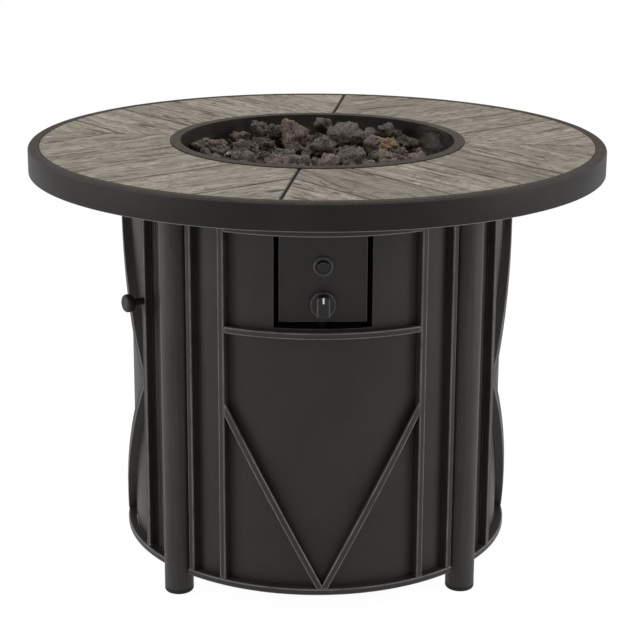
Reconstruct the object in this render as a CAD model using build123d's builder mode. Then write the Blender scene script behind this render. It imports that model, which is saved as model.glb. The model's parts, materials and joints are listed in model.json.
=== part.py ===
from build123d import *
import os
import random
from math import asin, cos, degrees, radians, sin, sqrt

# A round gas fire pit table, in millimetres.
# The origin is on the ground under the centre, +Z is up and the controls face -Y.
# Angles are seen from above, and grow from the front (-Y) towards the right (+X).

# Table top
top_diameter = 914.4
top_height = 673.0
rim_height = 40.5
rim_lip = 17.5
rim_wall = 3.0
rim_return = 14.0
rim_round = 5.0
slab_thickness = 18.0
slab_gap = 0.7
slab_joint_gap = 2.4
slab_joint_angle = -8.3
plank_width = 110.0
plank_slope = 45.0
plank_line_shares = {
    "front_left": (-1.93, -0.71, 0.18, 1.18, 2.16),
    "front_right": (-1.93, -0.94, 0.15, 1.05, 2.05),
    "back_left": (-2.02, -0.89, 0.14, 1.14, 2.14),
    "back_right": (-2.05, -0.96, 0.41, 1.36, 2.30),
}
plank_groove_width = 2.2
plank_groove_depth = 1.6
pan_thickness = 3.0

# Burner bowl
bowl_mouth_diameter = 437.0
bowl_flange_width = 16.5
bowl_flange_thickness = 2.5
bowl_flange_rebate = 1.0
bowl_flange_gap = 0.5
bowl_flange_round_share = 0.4
bowl_wall = 1.5
bowl_depth = 75.0
bowl_gap = 4.5
bowl_drain_diameter = 8.0
bowl_drain_circle_diameter = 300.0
bowl_drains = 6

# Lava rock
rock_fill_depth = 36.0
rock_fill_gap = 0.4
rock_pitch = 36.0
rock_height_least = 20.0
rock_height_most = 31.0
rock_foot_shares = (0.62, 0.80)
rock_crown_shares = (0.45, 0.72)
rock_waist_shares = (0.34, 0.52)
rock_girth_shares = (0.43, 0.495)
rock_corners = 7
rock_turn_share = 0.28
rock_row_share = 0.866
rock_seed = 5

# Burner
burner_ring_diameter = 220.0
burner_section = 19.0
burner_wall = 1.5
burner_feed_width = 15.0
burner_lift = 2.0
burner_channel_gap = 1.0
burner_ports = 24
burner_port_diameter = 3.0
hub_diameter = 34.0
riser_diameter = 20.0
riser_wall = 2.0
riser_clearance = 0.4
mixer_diameter = 25.0
mixer_wall = 2.0
mixer_elbow_diameter = 30.0
mixer_length = 88.0
mixer_drop = 41.0
mixer_window_length = 22.0
mixer_window_width = 10.0
mixer_window_share = 0.66
burner_nut_width = 34.0
burner_nut_thickness = 6.0

# Pilot: spark electrode and thermocouple beside the ring burner
pilot_offset = 28.0
pilot_plate_width = 64.0
pilot_plate_depth = 20.0
pilot_plate_thickness = 1.5
pilot_cover_width = 74.0
pilot_cover_depth = 30.0
pilot_cover_height = 27.0
pilot_cover_wall = 1.2
pilot_slot_width = 4.0
pilot_slots = 5
pilot_gap = 1.0
electrode_diameter = 7.0
electrode_tip_diameter = 2.0
electrode_below = 10.0
electrode_above = 15.0
electrode_tip_length = 6.0
thermocouple_spacing = 22.0
thermocouple_diameter = 5.0
thermocouple_above = 19.0
thermocouple_round_share = 0.25
sensor_clearance = 0.4

# Heat shield under the bowl
shield_diameter = 400.0
shield_thickness = 1.2
shield_drop = 20.0
shield_hole_gap = 3.0
spacer_diameter = 10.0
spacer_circle_diameter = 340.0
spacers = 3
spacer_start_angle = 30.0

# Drum
drum_diameter = 600.0
panel_thickness = 1.5
ground_gap = 33.0
bar_width = 10.0
bar_depth = 14.0
front_stile_angle = 28.6
front_edge_bar_angle = 39.3
side_stile_angle = 30.3
diamond_middle_height = 321.0

# Legs
leg_diameter = 45.0
leg_wall = 1.5
leg_stand_off = 10.0
leg_flange_diameter = 77.0
leg_flange_thickness = 4.0
leg_bolt_diameter = 6.0
leg_bolt_head_width = 10.0
leg_bolt_head_height = 4.0
bolt_spare = 0.5
bolt_clearance = 0.3
thread_clearance = 0.05
foot_cap_height = 8.0
foot_cap_plug_length = 18.0
foot_cap_clearance = 0.2
foot_cap_round = 4.0

# Base plate
base_plate_thickness = 2.0
base_vent_diameter = 160.0
hose_hole_diameter = 45.0
tank_foot_diameter = 210.0
tank_foot_clearance = 2.0
tank_ring_wall = 2.0
tank_ring_floor = 2.0
tank_ring_height = 20.0

# Controls
opening_width = 144.0
opening_drop = 43.5
opening_margin = 35.0
opening_reveal = 2.5
plate_width = 129.0
plate_thickness = 1.5
plate_setback = 14.0
plate_lift = 7.0
plate_fold = 14.0
plate_hanger_depth = 28.0
plate_screw_spacing = 80.0
plate_screw_inset = 9.0
plate_screw_diameter = 5.0
plate_screw_head_diameter = 9.0
plate_screw_head_height = 3.0
igniter_drop = 49.2
knob_spacing = 56.3

# Gas valve
valve_width = 38.0
valve_tall = 40.0
valve_long = 38.0
valve_round = 4.0
valve_nose_diameter = 16.0
valve_nose_length = 2.5
valve_nose_lip = 1.5
valve_port_diameter = 14.0
valve_port_length = 10.0
valve_port_back = 24.0
valve_screw_spacing = 24.0
valve_screw_diameter = 3.8
valve_screw_head_diameter = 5.6
valve_screw_head_height = 1.8
valve_screw_depth = 8.0
inlet_thread_diameter = 15.8
inlet_thread_length = 14.0
inlet_hex_width = 19.0
inlet_hex_length = 8.0
inlet_bore_diameter = 7.0
plunger_diameter = 12.0
plunger_length = 10.0
plunger_play = 0.3
push_travel = 3.0
running_clearance = 0.05
stem_diameter = 6.0
stem_tail = 2.0
stem_clearance = 0.4

# Gas knob
knob_diameter = 37.0
knob_skirt_length = 7.0
knob_skirt_wall = 2.5
knob_grip_length = 15.0
knob_grip_width = 19.0
knob_round = 1.5
knob_gap = 4.0
knob_recess = 3.5
knob_cavity = 9.0
knob_boss_diameter = 12.4
knob_bore = 17.0
pointer_width = 2.6
pointer_length = 9.0
pointer_inset = 1.5
pointer_depth = 0.8
pointer_proud = 0.2

# Igniter
igniter_bezel_diameter = 28.5
igniter_bezel_length = 5.0
igniter_barrel_diameter = 22.0
igniter_button_diameter = 18.0
igniter_button_proud = 3.5
igniter_button_skirt = 9.0
igniter_button_round = 1.5
igniter_button_clearance = 0.3
igniter_travel = 3.0
igniter_end_wall = 2.0
igniter_nut_width = 30.0
igniter_nut_thickness = 6.0
battery_diameter = 14.5
battery_length = 50.5
battery_clearance = 0.3

# Gas tube and leads
gas_tube_diameter = 9.5
gas_tube_side = 60.0
gas_tube_bend = 22.0
gas_tube_last_run = 22.0
gas_tube_last_bend = 40.0
lead_diameter = 3.2
lead_bend = 12.0
thermocouple_lead_side = 47.0
thermocouple_lead_drop = 21.0

# Door in the left bay
door_half_angle = 33.6
door_gap = 2.0
door_swing_gap = 3.5
hinge_stand_off = 6.0
hinge_barrel_diameter = 10.0
hinge_pin_diameter = 5.0
hinge_pin_head = 1.5
hinge_knuckle = 16.0
hinge_knuckle_gap = 0.3
hinge_barrel_clearance = 0.4
hinge_leaf_thickness = 2.5
hinge_leaf_reach = 24.0
hinge_inset = 60.0
pull_height = 451.0
pull_stem_diameter = 11.0
pull_stem_length = 18.0
pull_head_diameter = 28.0
pull_head_length = 14.0
pull_head_round = 5.0
pull_screw_diameter = 4.0
pull_screw_depth = 14.0
pull_screw_head_diameter = 8.0
pull_screw_head_height = 2.2
seat_gap = 0.05
catch_height = 325.0
catch_length = 40.0
catch_depth = 10.0
catch_gap = 0.3
strike_length = 30.0
strike_width = 20.0
strike_thickness = 2.0
catch_hold_width = 18.0

# Cuts run past what they cut by this much
overrun = 5.0

# Radii and levels that follow from the sizes above
full_turn = 360.0
quarter = full_turn / 4
bay_angle = quarter
top_r = top_diameter / 2
rim_inner_r = top_r - rim_lip
slab_r = rim_inner_r - slab_gap
bowl_r = bowl_mouth_diameter / 2
bowl_outer_r = bowl_r + bowl_wall
top_hole_r = bowl_outer_r + bowl_gap
bowl_flange_r = bowl_r + bowl_flange_width
drum_r = drum_diameter / 2
panel_r = drum_r - panel_thickness
bar_r = drum_r + bar_depth
leg_r = leg_diameter / 2
leg_circle_r = drum_r + leg_stand_off
burner_r = burner_ring_diameter / 2
burner_half = burner_section / 2

rim_bottom = top_height - rim_height
slab_bottom = top_height - slab_thickness
pan_bottom = slab_bottom - pan_thickness
flange_seat = top_height - bowl_flange_rebate
bowl_flange_top = flange_seat + bowl_flange_thickness
bowl_bottom = top_height - bowl_depth
bowl_floor = bowl_bottom + bowl_wall
rock_level = bowl_floor + rock_fill_depth
burner_bottom = bowl_floor + burner_lift
burner_top = burner_bottom + burner_section
mixer_axis = bowl_bottom - mixer_drop
shield_top = bowl_bottom - shield_drop
rail_top = ground_gap + bar_width
door_bottom = rail_top + door_gap
door_top = rim_bottom - door_swing_gap
head_rail_bottom = door_top + door_gap
drum_top = head_rail_bottom + bar_width
opening_top = rim_bottom - opening_drop
igniter_height = opening_top - igniter_drop
knob_height = igniter_height - knob_spacing
opening_bottom = knob_height - opening_margin
plate_bottom = opening_bottom + plate_lift
crossbar_top = opening_bottom - opening_reveal
crossbar_bottom = crossbar_top - bar_width

plate_face = -(drum_r - plate_setback)
plate_back = plate_face + plate_thickness
valve_port_y = plate_back + valve_port_back
inlet_place = (0, valve_port_y)
pilot_y = -(burner_r + pilot_offset)

leg_angles = [bay_angle / 2 + bay_angle * quadrant for quadrant in range(4)]
right_bay = bay_angle
back_bay = 2 * bay_angle
left_bay = -bay_angle
hinge_angle = left_bay - door_half_angle
seam_angle = degrees(door_gap / 2 / drum_r)
door_front_stile = left_bay + side_stile_angle
door_back_stile = left_bay - side_stile_angle

os.makedirs("parts", exist_ok=True)


def keep(name, *pieces):
    """Write one node: a single piece, or a group of separate pieces."""
    node = pieces[0] if len(pieces) == 1 else Compound(children=list(pieces))
    node.label = name
    export_step(node, f"parts/{name}.step")


def polar(radius, angle):
    """Plan point at a radius and an angle from the front."""
    return (radius * sin(radians(angle)), -radius * cos(radians(angle)))


def level(height, angle=0.0):
    """Horizontal plane at a height whose x axis points outwards at an angle from the front."""
    return Plane(origin=(0, 0, height), x_dir=(*polar(1, angle), 0), z_dir=(0, 0, 1))


def facing(angle, radius=0.0, height=0.0):
    """Upright plane that faces outwards at an angle from the front, with its y axis up."""
    origin = (*polar(radius, angle), height)
    return Plane(origin=origin, x_dir=(*polar(1, angle + quarter), 0), z_dir=(*polar(1, angle), 0))


def front(y, height):
    """Upright plane at the front that faces the person at the controls."""
    return facing(0.0, -y, height)


def sector(inner, outer, start, end, low, high):
    """Upright piece of a ring between two angles from the front."""
    middle = (start + end) / 2
    with BuildPart() as piece:
        with BuildSketch(level(low)):
            Circle(outer)
            Circle(inner, mode=Mode.SUBTRACT)
        extrude(amount=high - low)
        with BuildSketch(Plane.XY.offset(low - overrun)):
            far = 2 * outer
            Polygon((0, 0), polar(far, start), polar(far, middle), polar(far, end), align=None)
        extrude(amount=high - low + 2 * overrun, mode=Mode.INTERSECT)
    return piece.part


def without_legs(piece):
    """The piece with the places of the four legs cut away."""
    with BuildPart() as trimmed:
        add(piece)
        for angle in leg_angles:
            with BuildSketch(Plane.XY):
                with Locations(polar(leg_circle_r, angle)):
                    Circle(leg_r)
            extrude(amount=top_height, mode=Mode.SUBTRACT)
    return trimmed.part


def bay_sheet(bay, low, high):
    """Curved sheet that fills one bay from leg to leg."""
    half = bay_angle / 2
    return without_legs(sector(panel_r, drum_r, bay - half, bay + half, low, high))


def rail(bay, low):
    """Curved bar that runs round one bay from leg to leg."""
    half = bay_angle / 2
    return without_legs(sector(drum_r, bar_r, bay - half, bay + half, low, low + bar_width))


def upright(angle, low, high):
    """Straight bar that stands on the drum's face."""
    with BuildPart() as bar:
        with BuildSketch(level(low, angle)):
            Rectangle(bar_r + overrun, bar_width, align=(Align.MIN, Align.CENTER))
        extrude(amount=high - low)
        with BuildSketch(Plane.XY.offset(low)):
            Circle(bar_r)
            Circle(drum_r, mode=Mode.SUBTRACT)
        extrude(amount=high - low, mode=Mode.INTERSECT)
    return bar.part


def slant(bay, side, start, end, stile_angle, low, high):
    """Bar bent round the drum from the middle of a bay at one height to a stile at another."""
    run = (drum_r + bar_depth / 2) * sin(radians(stile_angle))
    rise = end - start
    half_tall = bar_width / 2 * sqrt(run**2 + rise**2) / run
    with BuildPart() as bar:
        with BuildSketch(facing(bay)):
            Polygon(
                (0, start - half_tall),
                (side * run, end - half_tall),
                (side * run, end + half_tall),
                (0, start + half_tall),
                align=None,
            )
        extrude(amount=bar_r + overrun)
        with BuildSketch(Plane.XY.offset(low)):
            Circle(bar_r)
            Circle(drum_r, mode=Mode.SUBTRACT)
        extrude(amount=high - low, mode=Mode.INTERSECT)
        with BuildSketch(level(low - overrun, bay + side * stile_angle)):
            Rectangle(bar_r + overrun, bar_width, align=(Align.MIN, Align.CENTER))
        extrude(amount=high - low + 2 * overrun, mode=Mode.SUBTRACT)
    return bar.part.solids().sort_by(SortBy.VOLUME)[-1]


def diamond(bay, stile_angle, low, high):
    """Four slanted bars that meet at the middle of the rails and halfway up the stiles."""
    bottom = ground_gap + bar_width / 2
    top = drum_top - bar_width / 2
    bars = []
    for side in (-1, 1):
        for apex in (bottom, top):
            bars.append(slant(bay, side, apex, diamond_middle_height, stile_angle, low, high))
    return bars


def round_bar(start, radius, length):
    """Round bar from a plane, along its normal."""
    with BuildPart() as bar:
        with BuildSketch(start):
            Circle(radius)
        extrude(amount=length)
    return bar.part


def tube_along(points, radii, radius):
    """Round tube along straight runs joined by tangent arcs."""
    with BuildPart() as tube:
        with BuildLine() as route:
            FilletPolyline(*points, radius=radii)
        with BuildSketch(Plane(origin=route.line @ 0, z_dir=route.line % 0)):
            Circle(radius)
        sweep(path=route.line)
    return tube.part


# Rim: a folded band with a lip round the slabs and a return at its foot
with BuildPart() as top_rim:
    with BuildSketch(Plane.XZ):
        with BuildLine():
            Polyline(
                (top_r, rim_bottom),
                (top_r, top_height),
                (rim_inner_r, top_height),
                (rim_inner_r, pan_bottom),
                (rim_inner_r + rim_wall, pan_bottom),
                (rim_inner_r + rim_wall, top_height - rim_wall),
                (top_r - rim_wall, top_height - rim_wall),
                (top_r - rim_wall, rim_bottom + rim_wall),
                (top_r - rim_return, rim_bottom + rim_wall),
                (top_r - rim_return, rim_bottom),
                close=True,
            )
        make_face()
    revolve(axis=Axis.Z)
    rim_corners = top_rim.edges().filter_by(GeomType.CIRCLE).group_by(SortBy.RADIUS)[-1]
    fillet(rim_corners.sort_by(Axis.Z)[-1], rim_round)
keep("top_rim", top_rim.part)

# Pan that carries the slabs, with threaded holes for the legs and the control plate
leg_bolt_reach = (leg_r + leg_flange_diameter / 2) / 2
leg_bolt_places = []
for leg_angle in leg_angles:
    for side in (-1, 1):
        leg_point = Vector(*polar(leg_circle_r, leg_angle))
        leg_bolt_places.append(leg_point + Vector(*polar(side * leg_bolt_reach, leg_angle + quarter)))
plate_screw_y = plate_face + plate_hanger_depth - plate_screw_inset
plate_screw_places = [(side * plate_screw_spacing / 2, plate_screw_y) for side in (-1, 1)]

with BuildPart() as top_pan:
    with BuildSketch(Plane.XY.offset(pan_bottom)):
        Circle(rim_inner_r)
        Circle(top_hole_r, mode=Mode.SUBTRACT)
        with Locations(*leg_bolt_places):
            Circle(leg_bolt_diameter / 2 + thread_clearance, mode=Mode.SUBTRACT)
        with Locations(*plate_screw_places):
            Circle(plate_screw_diameter / 2 + thread_clearance, mode=Mode.SUBTRACT)
    extrude(amount=pan_thickness)
keep("top_pan", top_pan.part)


def slab(side, halves):
    """Half-ring slab beside the joint, its top moulded as planks that run out along each quadrant."""
    joint = slab_joint_angle + quarter
    with BuildPart() as piece:
        with BuildSketch(level(slab_bottom, joint)):
            Circle(slab_r)
            Circle(top_hole_r, mode=Mode.SUBTRACT)
            with Locations((side * slab_joint_gap / 2, 0)):
                edge = Align.MIN if side > 0 else Align.MAX
                Rectangle(top_r, top_diameter, align=(edge, Align.CENTER), mode=Mode.INTERSECT)
        extrude(amount=slab_thickness)
        for depth, quadrant in halves:
            with BuildSketch(level(top_height - plank_groove_depth, joint)):
                slope = plank_slope * side * depth
                for share in plank_line_shares[quadrant]:
                    offset = share * plank_width
                    with Locations((-offset * sin(radians(slope)), offset * cos(radians(slope)))):
                        Rectangle(2 * top_diameter, plank_groove_width, rotation=slope)
                with Locations((side * top_r / 2, depth * top_r / 2)):
                    Rectangle(top_r, top_r, mode=Mode.INTERSECT)
            extrude(amount=plank_groove_depth + overrun, mode=Mode.SUBTRACT)
        with BuildSketch(level(top_height - plank_groove_depth, joint)):
            Rectangle(top_diameter, plank_groove_width)
        extrude(amount=plank_groove_depth + overrun, mode=Mode.SUBTRACT)
        with BuildSketch(level(flange_seat)):
            Circle(bowl_flange_r + bowl_flange_gap)
        extrude(amount=bowl_flange_rebate + overrun, mode=Mode.SUBTRACT)
    return piece.part


keep("slab_left", slab(-1, ((-1, "front_left"), (1, "back_left"))))
keep("slab_right", slab(1, ((-1, "front_right"), (1, "back_right"))))

# Bowl that hangs by its flange in a rebate round the hole of the slabs
electrode_place = (0, pilot_y)
thermocouple_place = (-thermocouple_spacing, pilot_y)
with BuildPart() as burner_bowl:
    with BuildSketch(Plane.XZ):
        with BuildLine():
            Polyline(
                (0, bowl_bottom),
                (bowl_outer_r, bowl_bottom),
                (bowl_outer_r, flange_seat),
                (bowl_flange_r, flange_seat),
                (bowl_flange_r, bowl_flange_top),
                (bowl_r, bowl_flange_top),
                (bowl_r, bowl_floor),
                (0, bowl_floor),
                close=True,
            )
        make_face()
    revolve(axis=Axis.Z)
    flange_rims = burner_bowl.edges().filter_by(GeomType.CIRCLE).group_by(Axis.Z)[-1]
    fillet(flange_rims, bowl_flange_thickness * bowl_flange_round_share)
    with BuildSketch(Plane.XY.offset(bowl_bottom)):
        Circle(riser_diameter / 2 + riser_clearance)
        with Locations(electrode_place):
            Circle(electrode_diameter / 2 + sensor_clearance)
        with Locations(thermocouple_place):
            Circle(thermocouple_diameter / 2 + sensor_clearance)
        with PolarLocations(bowl_drain_circle_diameter / 2, bowl_drains):
            Circle(bowl_drain_diameter / 2)
    extrude(amount=bowl_wall, mode=Mode.SUBTRACT)
keep("burner_bowl", burner_bowl.part)

# Ring burner of box section, fed by a cross tube from a hub in the middle
with BuildPart() as burner:
    for inset, burner_mode in ((0.0, Mode.ADD), (burner_wall, Mode.SUBTRACT)):
        with BuildSketch(Plane.XY.offset(burner_bottom + inset)):
            Circle(burner_r + burner_half - inset)
            Circle(burner_r - burner_half + inset, mode=Mode.SUBTRACT)
            Rectangle(burner_ring_diameter, burner_feed_width - 2 * inset)
            Circle(hub_diameter / 2 - inset)
        extrude(amount=burner_section - 2 * inset, mode=burner_mode)
    with BuildSketch(Plane.XY.offset(burner_bottom)):
        Circle(riser_diameter / 2 - riser_wall)
    extrude(amount=burner_wall, mode=Mode.SUBTRACT)
    with BuildSketch(Plane.XY.offset(burner_top)):
        with PolarLocations(burner_r, burner_ports, start_angle=quarter / burner_ports):
            Circle(burner_port_diameter / 2)
    extrude(amount=-burner_wall, mode=Mode.SUBTRACT)
keep("burner", burner.part)

# Mixer under the bowl: a level tube with air windows, and a riser to the burner's hub
with BuildPart() as air_mixer:
    with BuildSketch(front(0, mixer_axis)):
        Circle(mixer_diameter / 2)
    extrude(amount=mixer_length)
    with BuildSketch(Plane.XY.offset(mixer_axis - mixer_elbow_diameter / 2)):
        Circle(mixer_elbow_diameter / 2)
    extrude(amount=mixer_elbow_diameter)
    with BuildSketch(Plane.XY.offset(mixer_axis)):
        Circle(riser_diameter / 2)
    extrude(amount=burner_bottom - mixer_axis)
    with BuildSketch(Plane.XY.offset(mixer_axis)):
        Circle(riser_diameter / 2 - riser_wall)
    extrude(amount=burner_bottom - mixer_axis, mode=Mode.SUBTRACT)
    with BuildSketch(front(0, mixer_axis)):
        Circle(mixer_diameter / 2 - mixer_wall)
    extrude(amount=mixer_length - mixer_wall, mode=Mode.SUBTRACT)
    with BuildSketch(Plane.XY.offset(mixer_axis - mixer_diameter / 2)):
        with Locations((0, -mixer_length * mixer_window_share)):
            Rectangle(mixer_window_width, mixer_window_length)
    extrude(amount=mixer_diameter, mode=Mode.SUBTRACT)
keep("air_mixer", air_mixer.part)

with BuildPart() as burner_nut:
    with BuildSketch(Plane.XY.offset(bowl_bottom - burner_nut_thickness)):
        RegularPolygon(burner_nut_width / 2, 6, major_radius=False)
        Circle(riser_diameter / 2 + thread_clearance, mode=Mode.SUBTRACT)
    extrude(amount=burner_nut_thickness)
keep("burner_nut", burner_nut.part)

# Pilot bracket on the bowl's floor, with the electrode and the thermocouple through it
with BuildPart() as pilot_bracket:
    with BuildSketch(Plane.XY.offset(bowl_floor)):
        with Locations((0, pilot_y)):
            Rectangle(pilot_plate_width, pilot_plate_depth)
        with Locations(electrode_place):
            Circle(electrode_diameter / 2 + thread_clearance, mode=Mode.SUBTRACT)
        with Locations(thermocouple_place):
            Circle(thermocouple_diameter / 2 + thread_clearance, mode=Mode.SUBTRACT)
    extrude(amount=pilot_plate_thickness)
keep("pilot_bracket", pilot_bracket.part)

with BuildPart() as electrode:
    with BuildSketch(Plane.XY.offset(bowl_bottom - electrode_below)):
        with Locations(electrode_place):
            Circle(electrode_diameter / 2)
    extrude(amount=electrode_below + bowl_wall + electrode_above)
    with BuildSketch(Plane.XY.offset(bowl_floor + electrode_above)):
        with Locations(electrode_place):
            Circle(electrode_tip_diameter / 2)
    extrude(amount=electrode_tip_length)
keep("electrode", electrode.part)

# Slotted cover that keeps rock off the pilot
with BuildPart() as pilot_cover:
    with BuildSketch(Plane.XY.offset(bowl_floor)):
        with Locations((0, pilot_y)):
            Rectangle(pilot_cover_width, pilot_cover_depth)
    extrude(amount=pilot_cover_height)
    with BuildSketch(Plane.XY.offset(bowl_floor)):
        with Locations((0, pilot_y)):
            Rectangle(pilot_cover_width - 2 * pilot_cover_wall, pilot_cover_depth - 2 * pilot_cover_wall)
    extrude(amount=pilot_cover_height - pilot_cover_wall, mode=Mode.SUBTRACT)
    with BuildSketch(Plane.XY.offset(bowl_floor + pilot_cover_height)):
        with Locations((0, pilot_y)):
            with GridLocations(pilot_cover_width / (pilot_slots + 1), 0, pilot_slots, 1):
                Rectangle(pilot_slot_width, pilot_cover_depth / 2)
    extrude(amount=-pilot_cover_wall, mode=Mode.SUBTRACT)
keep("pilot_cover", pilot_cover.part)

# Rock that fills the bowl round the burner, with channels for what it buries
with BuildPart() as rock_fill:
    with BuildSketch(Plane.XY.offset(bowl_floor)):
        Circle(bowl_r - rock_fill_gap)
    extrude(amount=rock_fill_depth)
    with BuildSketch(Plane.XY.offset(bowl_floor)):
        channel_half = burner_half + burner_channel_gap
        Circle(burner_r + channel_half)
        Circle(burner_r - channel_half, mode=Mode.SUBTRACT)
        Rectangle(burner_ring_diameter, burner_feed_width + 2 * burner_channel_gap)
        Circle(hub_diameter / 2 + burner_channel_gap)
    extrude(amount=burner_top + burner_channel_gap - bowl_floor, mode=Mode.SUBTRACT)
    with BuildSketch(Plane.XY.offset(bowl_floor)):
        with Locations((0, pilot_y)):
            Rectangle(pilot_cover_width + 2 * pilot_gap, pilot_cover_depth + 2 * pilot_gap)
    extrude(amount=pilot_cover_height + pilot_gap, mode=Mode.SUBTRACT)
keep("rock_fill", rock_fill.part)


def rock(place, chance):
    """Rough stone on the fill, with similar many-sided sections at its foot, waist and crown."""
    tall = chance.uniform(rock_height_least, rock_height_most)
    girth = rock_pitch * chance.uniform(*rock_girth_shares)
    step = full_turn / rock_corners
    turns = []
    for corner in range(rock_corners):
        turns.append(step * (corner + chance.uniform(-rock_turn_share, rock_turn_share)))
    foot = (0.0, chance.uniform(*rock_foot_shares))
    waist = (tall * chance.uniform(*rock_waist_shares), 1.0)
    crown = (tall, chance.uniform(*rock_crown_shares))
    with BuildPart() as stone:
        for height, share in (foot, waist, crown):
            with BuildSketch(Plane.XY.offset(rock_level + height)):
                with Locations(place):
                    Polygon(*[polar(girth * share, turn) for turn in turns], align=None)
        loft(ruled=True)
    return stone.part


# Loose rocks in staggered rows over the fill
rock_chance = random.Random(rock_seed)
rocks = []
row_step = rock_pitch * rock_row_share
rock_rows = int(bowl_r / row_step)
for row in range(-rock_rows, rock_rows + 1):
    for column in range(-rock_rows, rock_rows + 1):
        rock_place = Vector((column + (row % 2) / 2) * rock_pitch, row * row_step)
        if rock_place.length + rock_pitch / 2 < bowl_r:
            rocks.append(rock(rock_place, rock_chance))
keep("lava_rocks", *rocks)

# Heat shield hung under the bowl on spacers
with BuildPart() as heat_shield:
    with BuildSketch(Plane.XY.offset(shield_top - shield_thickness)):
        Circle(shield_diameter / 2)
        Circle(riser_diameter / 2 + shield_hole_gap, mode=Mode.SUBTRACT)
        with Locations(electrode_place, thermocouple_place):
            Circle(electrode_diameter / 2 + shield_hole_gap, mode=Mode.SUBTRACT)
    extrude(amount=shield_thickness)
keep("heat_shield", heat_shield.part)

with BuildPart() as shield_spacers:
    with BuildSketch(Plane.XY.offset(shield_top)):
        with PolarLocations(spacer_circle_diameter / 2, spacers, start_angle=spacer_start_angle):
            Circle(spacer_diameter / 2)
    extrude(amount=shield_drop)
keep("shield_spacers", shield_spacers.part)

# Legs: tubes with a bolting flange at the top
leg_names = ("leg_front_right", "leg_back_right", "leg_back_left", "leg_front_left")
for leg_name, leg_angle in zip(leg_names, leg_angles):
    leg_place = polar(leg_circle_r, leg_angle)
    bolt_reach = Vector(*polar(leg_bolt_reach, leg_angle + quarter))
    with BuildPart() as leg:
        with BuildSketch(Plane.XY.offset(foot_cap_height)):
            with Locations(leg_place):
                Circle(leg_r)
        extrude(amount=pan_bottom - foot_cap_height)
        with BuildSketch(Plane.XY.offset(pan_bottom - leg_flange_thickness)):
            with Locations(leg_place):
                Circle(leg_flange_diameter / 2)
        extrude(amount=leg_flange_thickness)
        with BuildSketch(Plane.XY.offset(foot_cap_height)):
            with Locations(leg_place):
                Circle(leg_r - leg_wall)
        extrude(amount=pan_bottom - leg_flange_thickness - foot_cap_height, mode=Mode.SUBTRACT)
        with BuildSketch(Plane.XY.offset(pan_bottom)):
            with Locations(Vector(*leg_place) + bolt_reach, Vector(*leg_place) - bolt_reach):
                Circle(leg_bolt_diameter / 2 + bolt_clearance)
        extrude(amount=-leg_flange_thickness, mode=Mode.SUBTRACT)
    keep(leg_name, leg.part)

with BuildPart() as leg_bolts:
    with BuildSketch(Plane.XY.offset(pan_bottom - leg_flange_thickness - leg_bolt_head_height)):
        with Locations(*leg_bolt_places):
            RegularPolygon(leg_bolt_head_width / 2, 6, major_radius=False)
    extrude(amount=leg_bolt_head_height)
    with BuildSketch(Plane.XY.offset(pan_bottom - leg_flange_thickness)):
        with Locations(*leg_bolt_places):
            Circle(leg_bolt_diameter / 2)
    extrude(amount=leg_flange_thickness + pan_thickness - bolt_spare)
keep("leg_bolts", leg_bolts.part)

with BuildPart() as foot_caps:
    leg_places = [polar(leg_circle_r, leg_angle) for leg_angle in leg_angles]
    with BuildSketch(Plane.XY):
        with Locations(*leg_places):
            Circle(leg_r)
    extrude(amount=foot_cap_height)
    fillet(foot_caps.edges().group_by(Axis.Z)[0], foot_cap_round)
    with BuildSketch(Plane.XY.offset(foot_cap_height)):
        with Locations(*leg_places):
            Circle(leg_r - leg_wall - foot_cap_clearance)
    extrude(amount=foot_cap_plug_length)
keep("foot_caps", foot_caps.part)

# Base plate between the legs, with a vent, a hole for a hose and a tray for the tank's foot
with BuildPart() as base_plate:
    with BuildSketch(Plane.XY.offset(rail_top - base_plate_thickness)):
        Circle(panel_r)
        Circle(base_vent_diameter / 2, mode=Mode.SUBTRACT)
        with Locations(inlet_place):
            Circle(hose_hole_diameter / 2, mode=Mode.SUBTRACT)
        with Locations(*leg_places):
            Circle(leg_r, mode=Mode.SUBTRACT)
    extrude(amount=base_plate_thickness)
keep("base_plate", base_plate.part)

with BuildPart() as tank_ring:
    tank_ring_r = tank_foot_diameter / 2 + tank_foot_clearance
    with BuildSketch(Plane.XY.offset(rail_top)):
        Circle(tank_ring_r + tank_ring_wall)
        Circle(base_vent_diameter / 2, mode=Mode.SUBTRACT)
    extrude(amount=tank_ring_height)
    with BuildSketch(Plane.XY.offset(rail_top + tank_ring_floor)):
        Circle(tank_ring_r)
    extrude(amount=tank_ring_height, mode=Mode.SUBTRACT)
keep("tank_ring", tank_ring.part)

# Front bay: sheet with the control opening, crossbars under and over it, and a V
with BuildPart() as front_panel:
    add(bay_sheet(0.0, ground_gap, drum_top))
    with BuildSketch(facing(0.0)):
        with Locations((0, (opening_bottom + opening_top) / 2)):
            Rectangle(opening_width, opening_top - opening_bottom)
    extrude(amount=bar_r, mode=Mode.SUBTRACT)
keep("front_panel", front_panel.part)

front_crossbars = []
for crossbar_low in (crossbar_bottom, opening_top):
    with BuildPart() as front_crossbar:
        add(sector(drum_r, bar_r, -front_stile_angle, front_stile_angle, crossbar_low, crossbar_low + bar_width))
        for angle in (-front_stile_angle, front_stile_angle):
            with BuildSketch(level(crossbar_low, angle)):
                Rectangle(bar_r + overrun, bar_width, align=(Align.MIN, Align.CENTER))
            extrude(amount=bar_width, mode=Mode.SUBTRACT)
    front_crossbars.append(front_crossbar.part)
keep("front_crossbar", *front_crossbars)

rail_middle = ground_gap + bar_width / 2
front_v = []
for side in (-1, 1):
    v_ends = (rail_middle, diamond_middle_height)
    front_v.append(slant(0.0, side, *v_ends, front_stile_angle, rail_top, crossbar_bottom))
keep("front_v_bars", *front_v)

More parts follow.
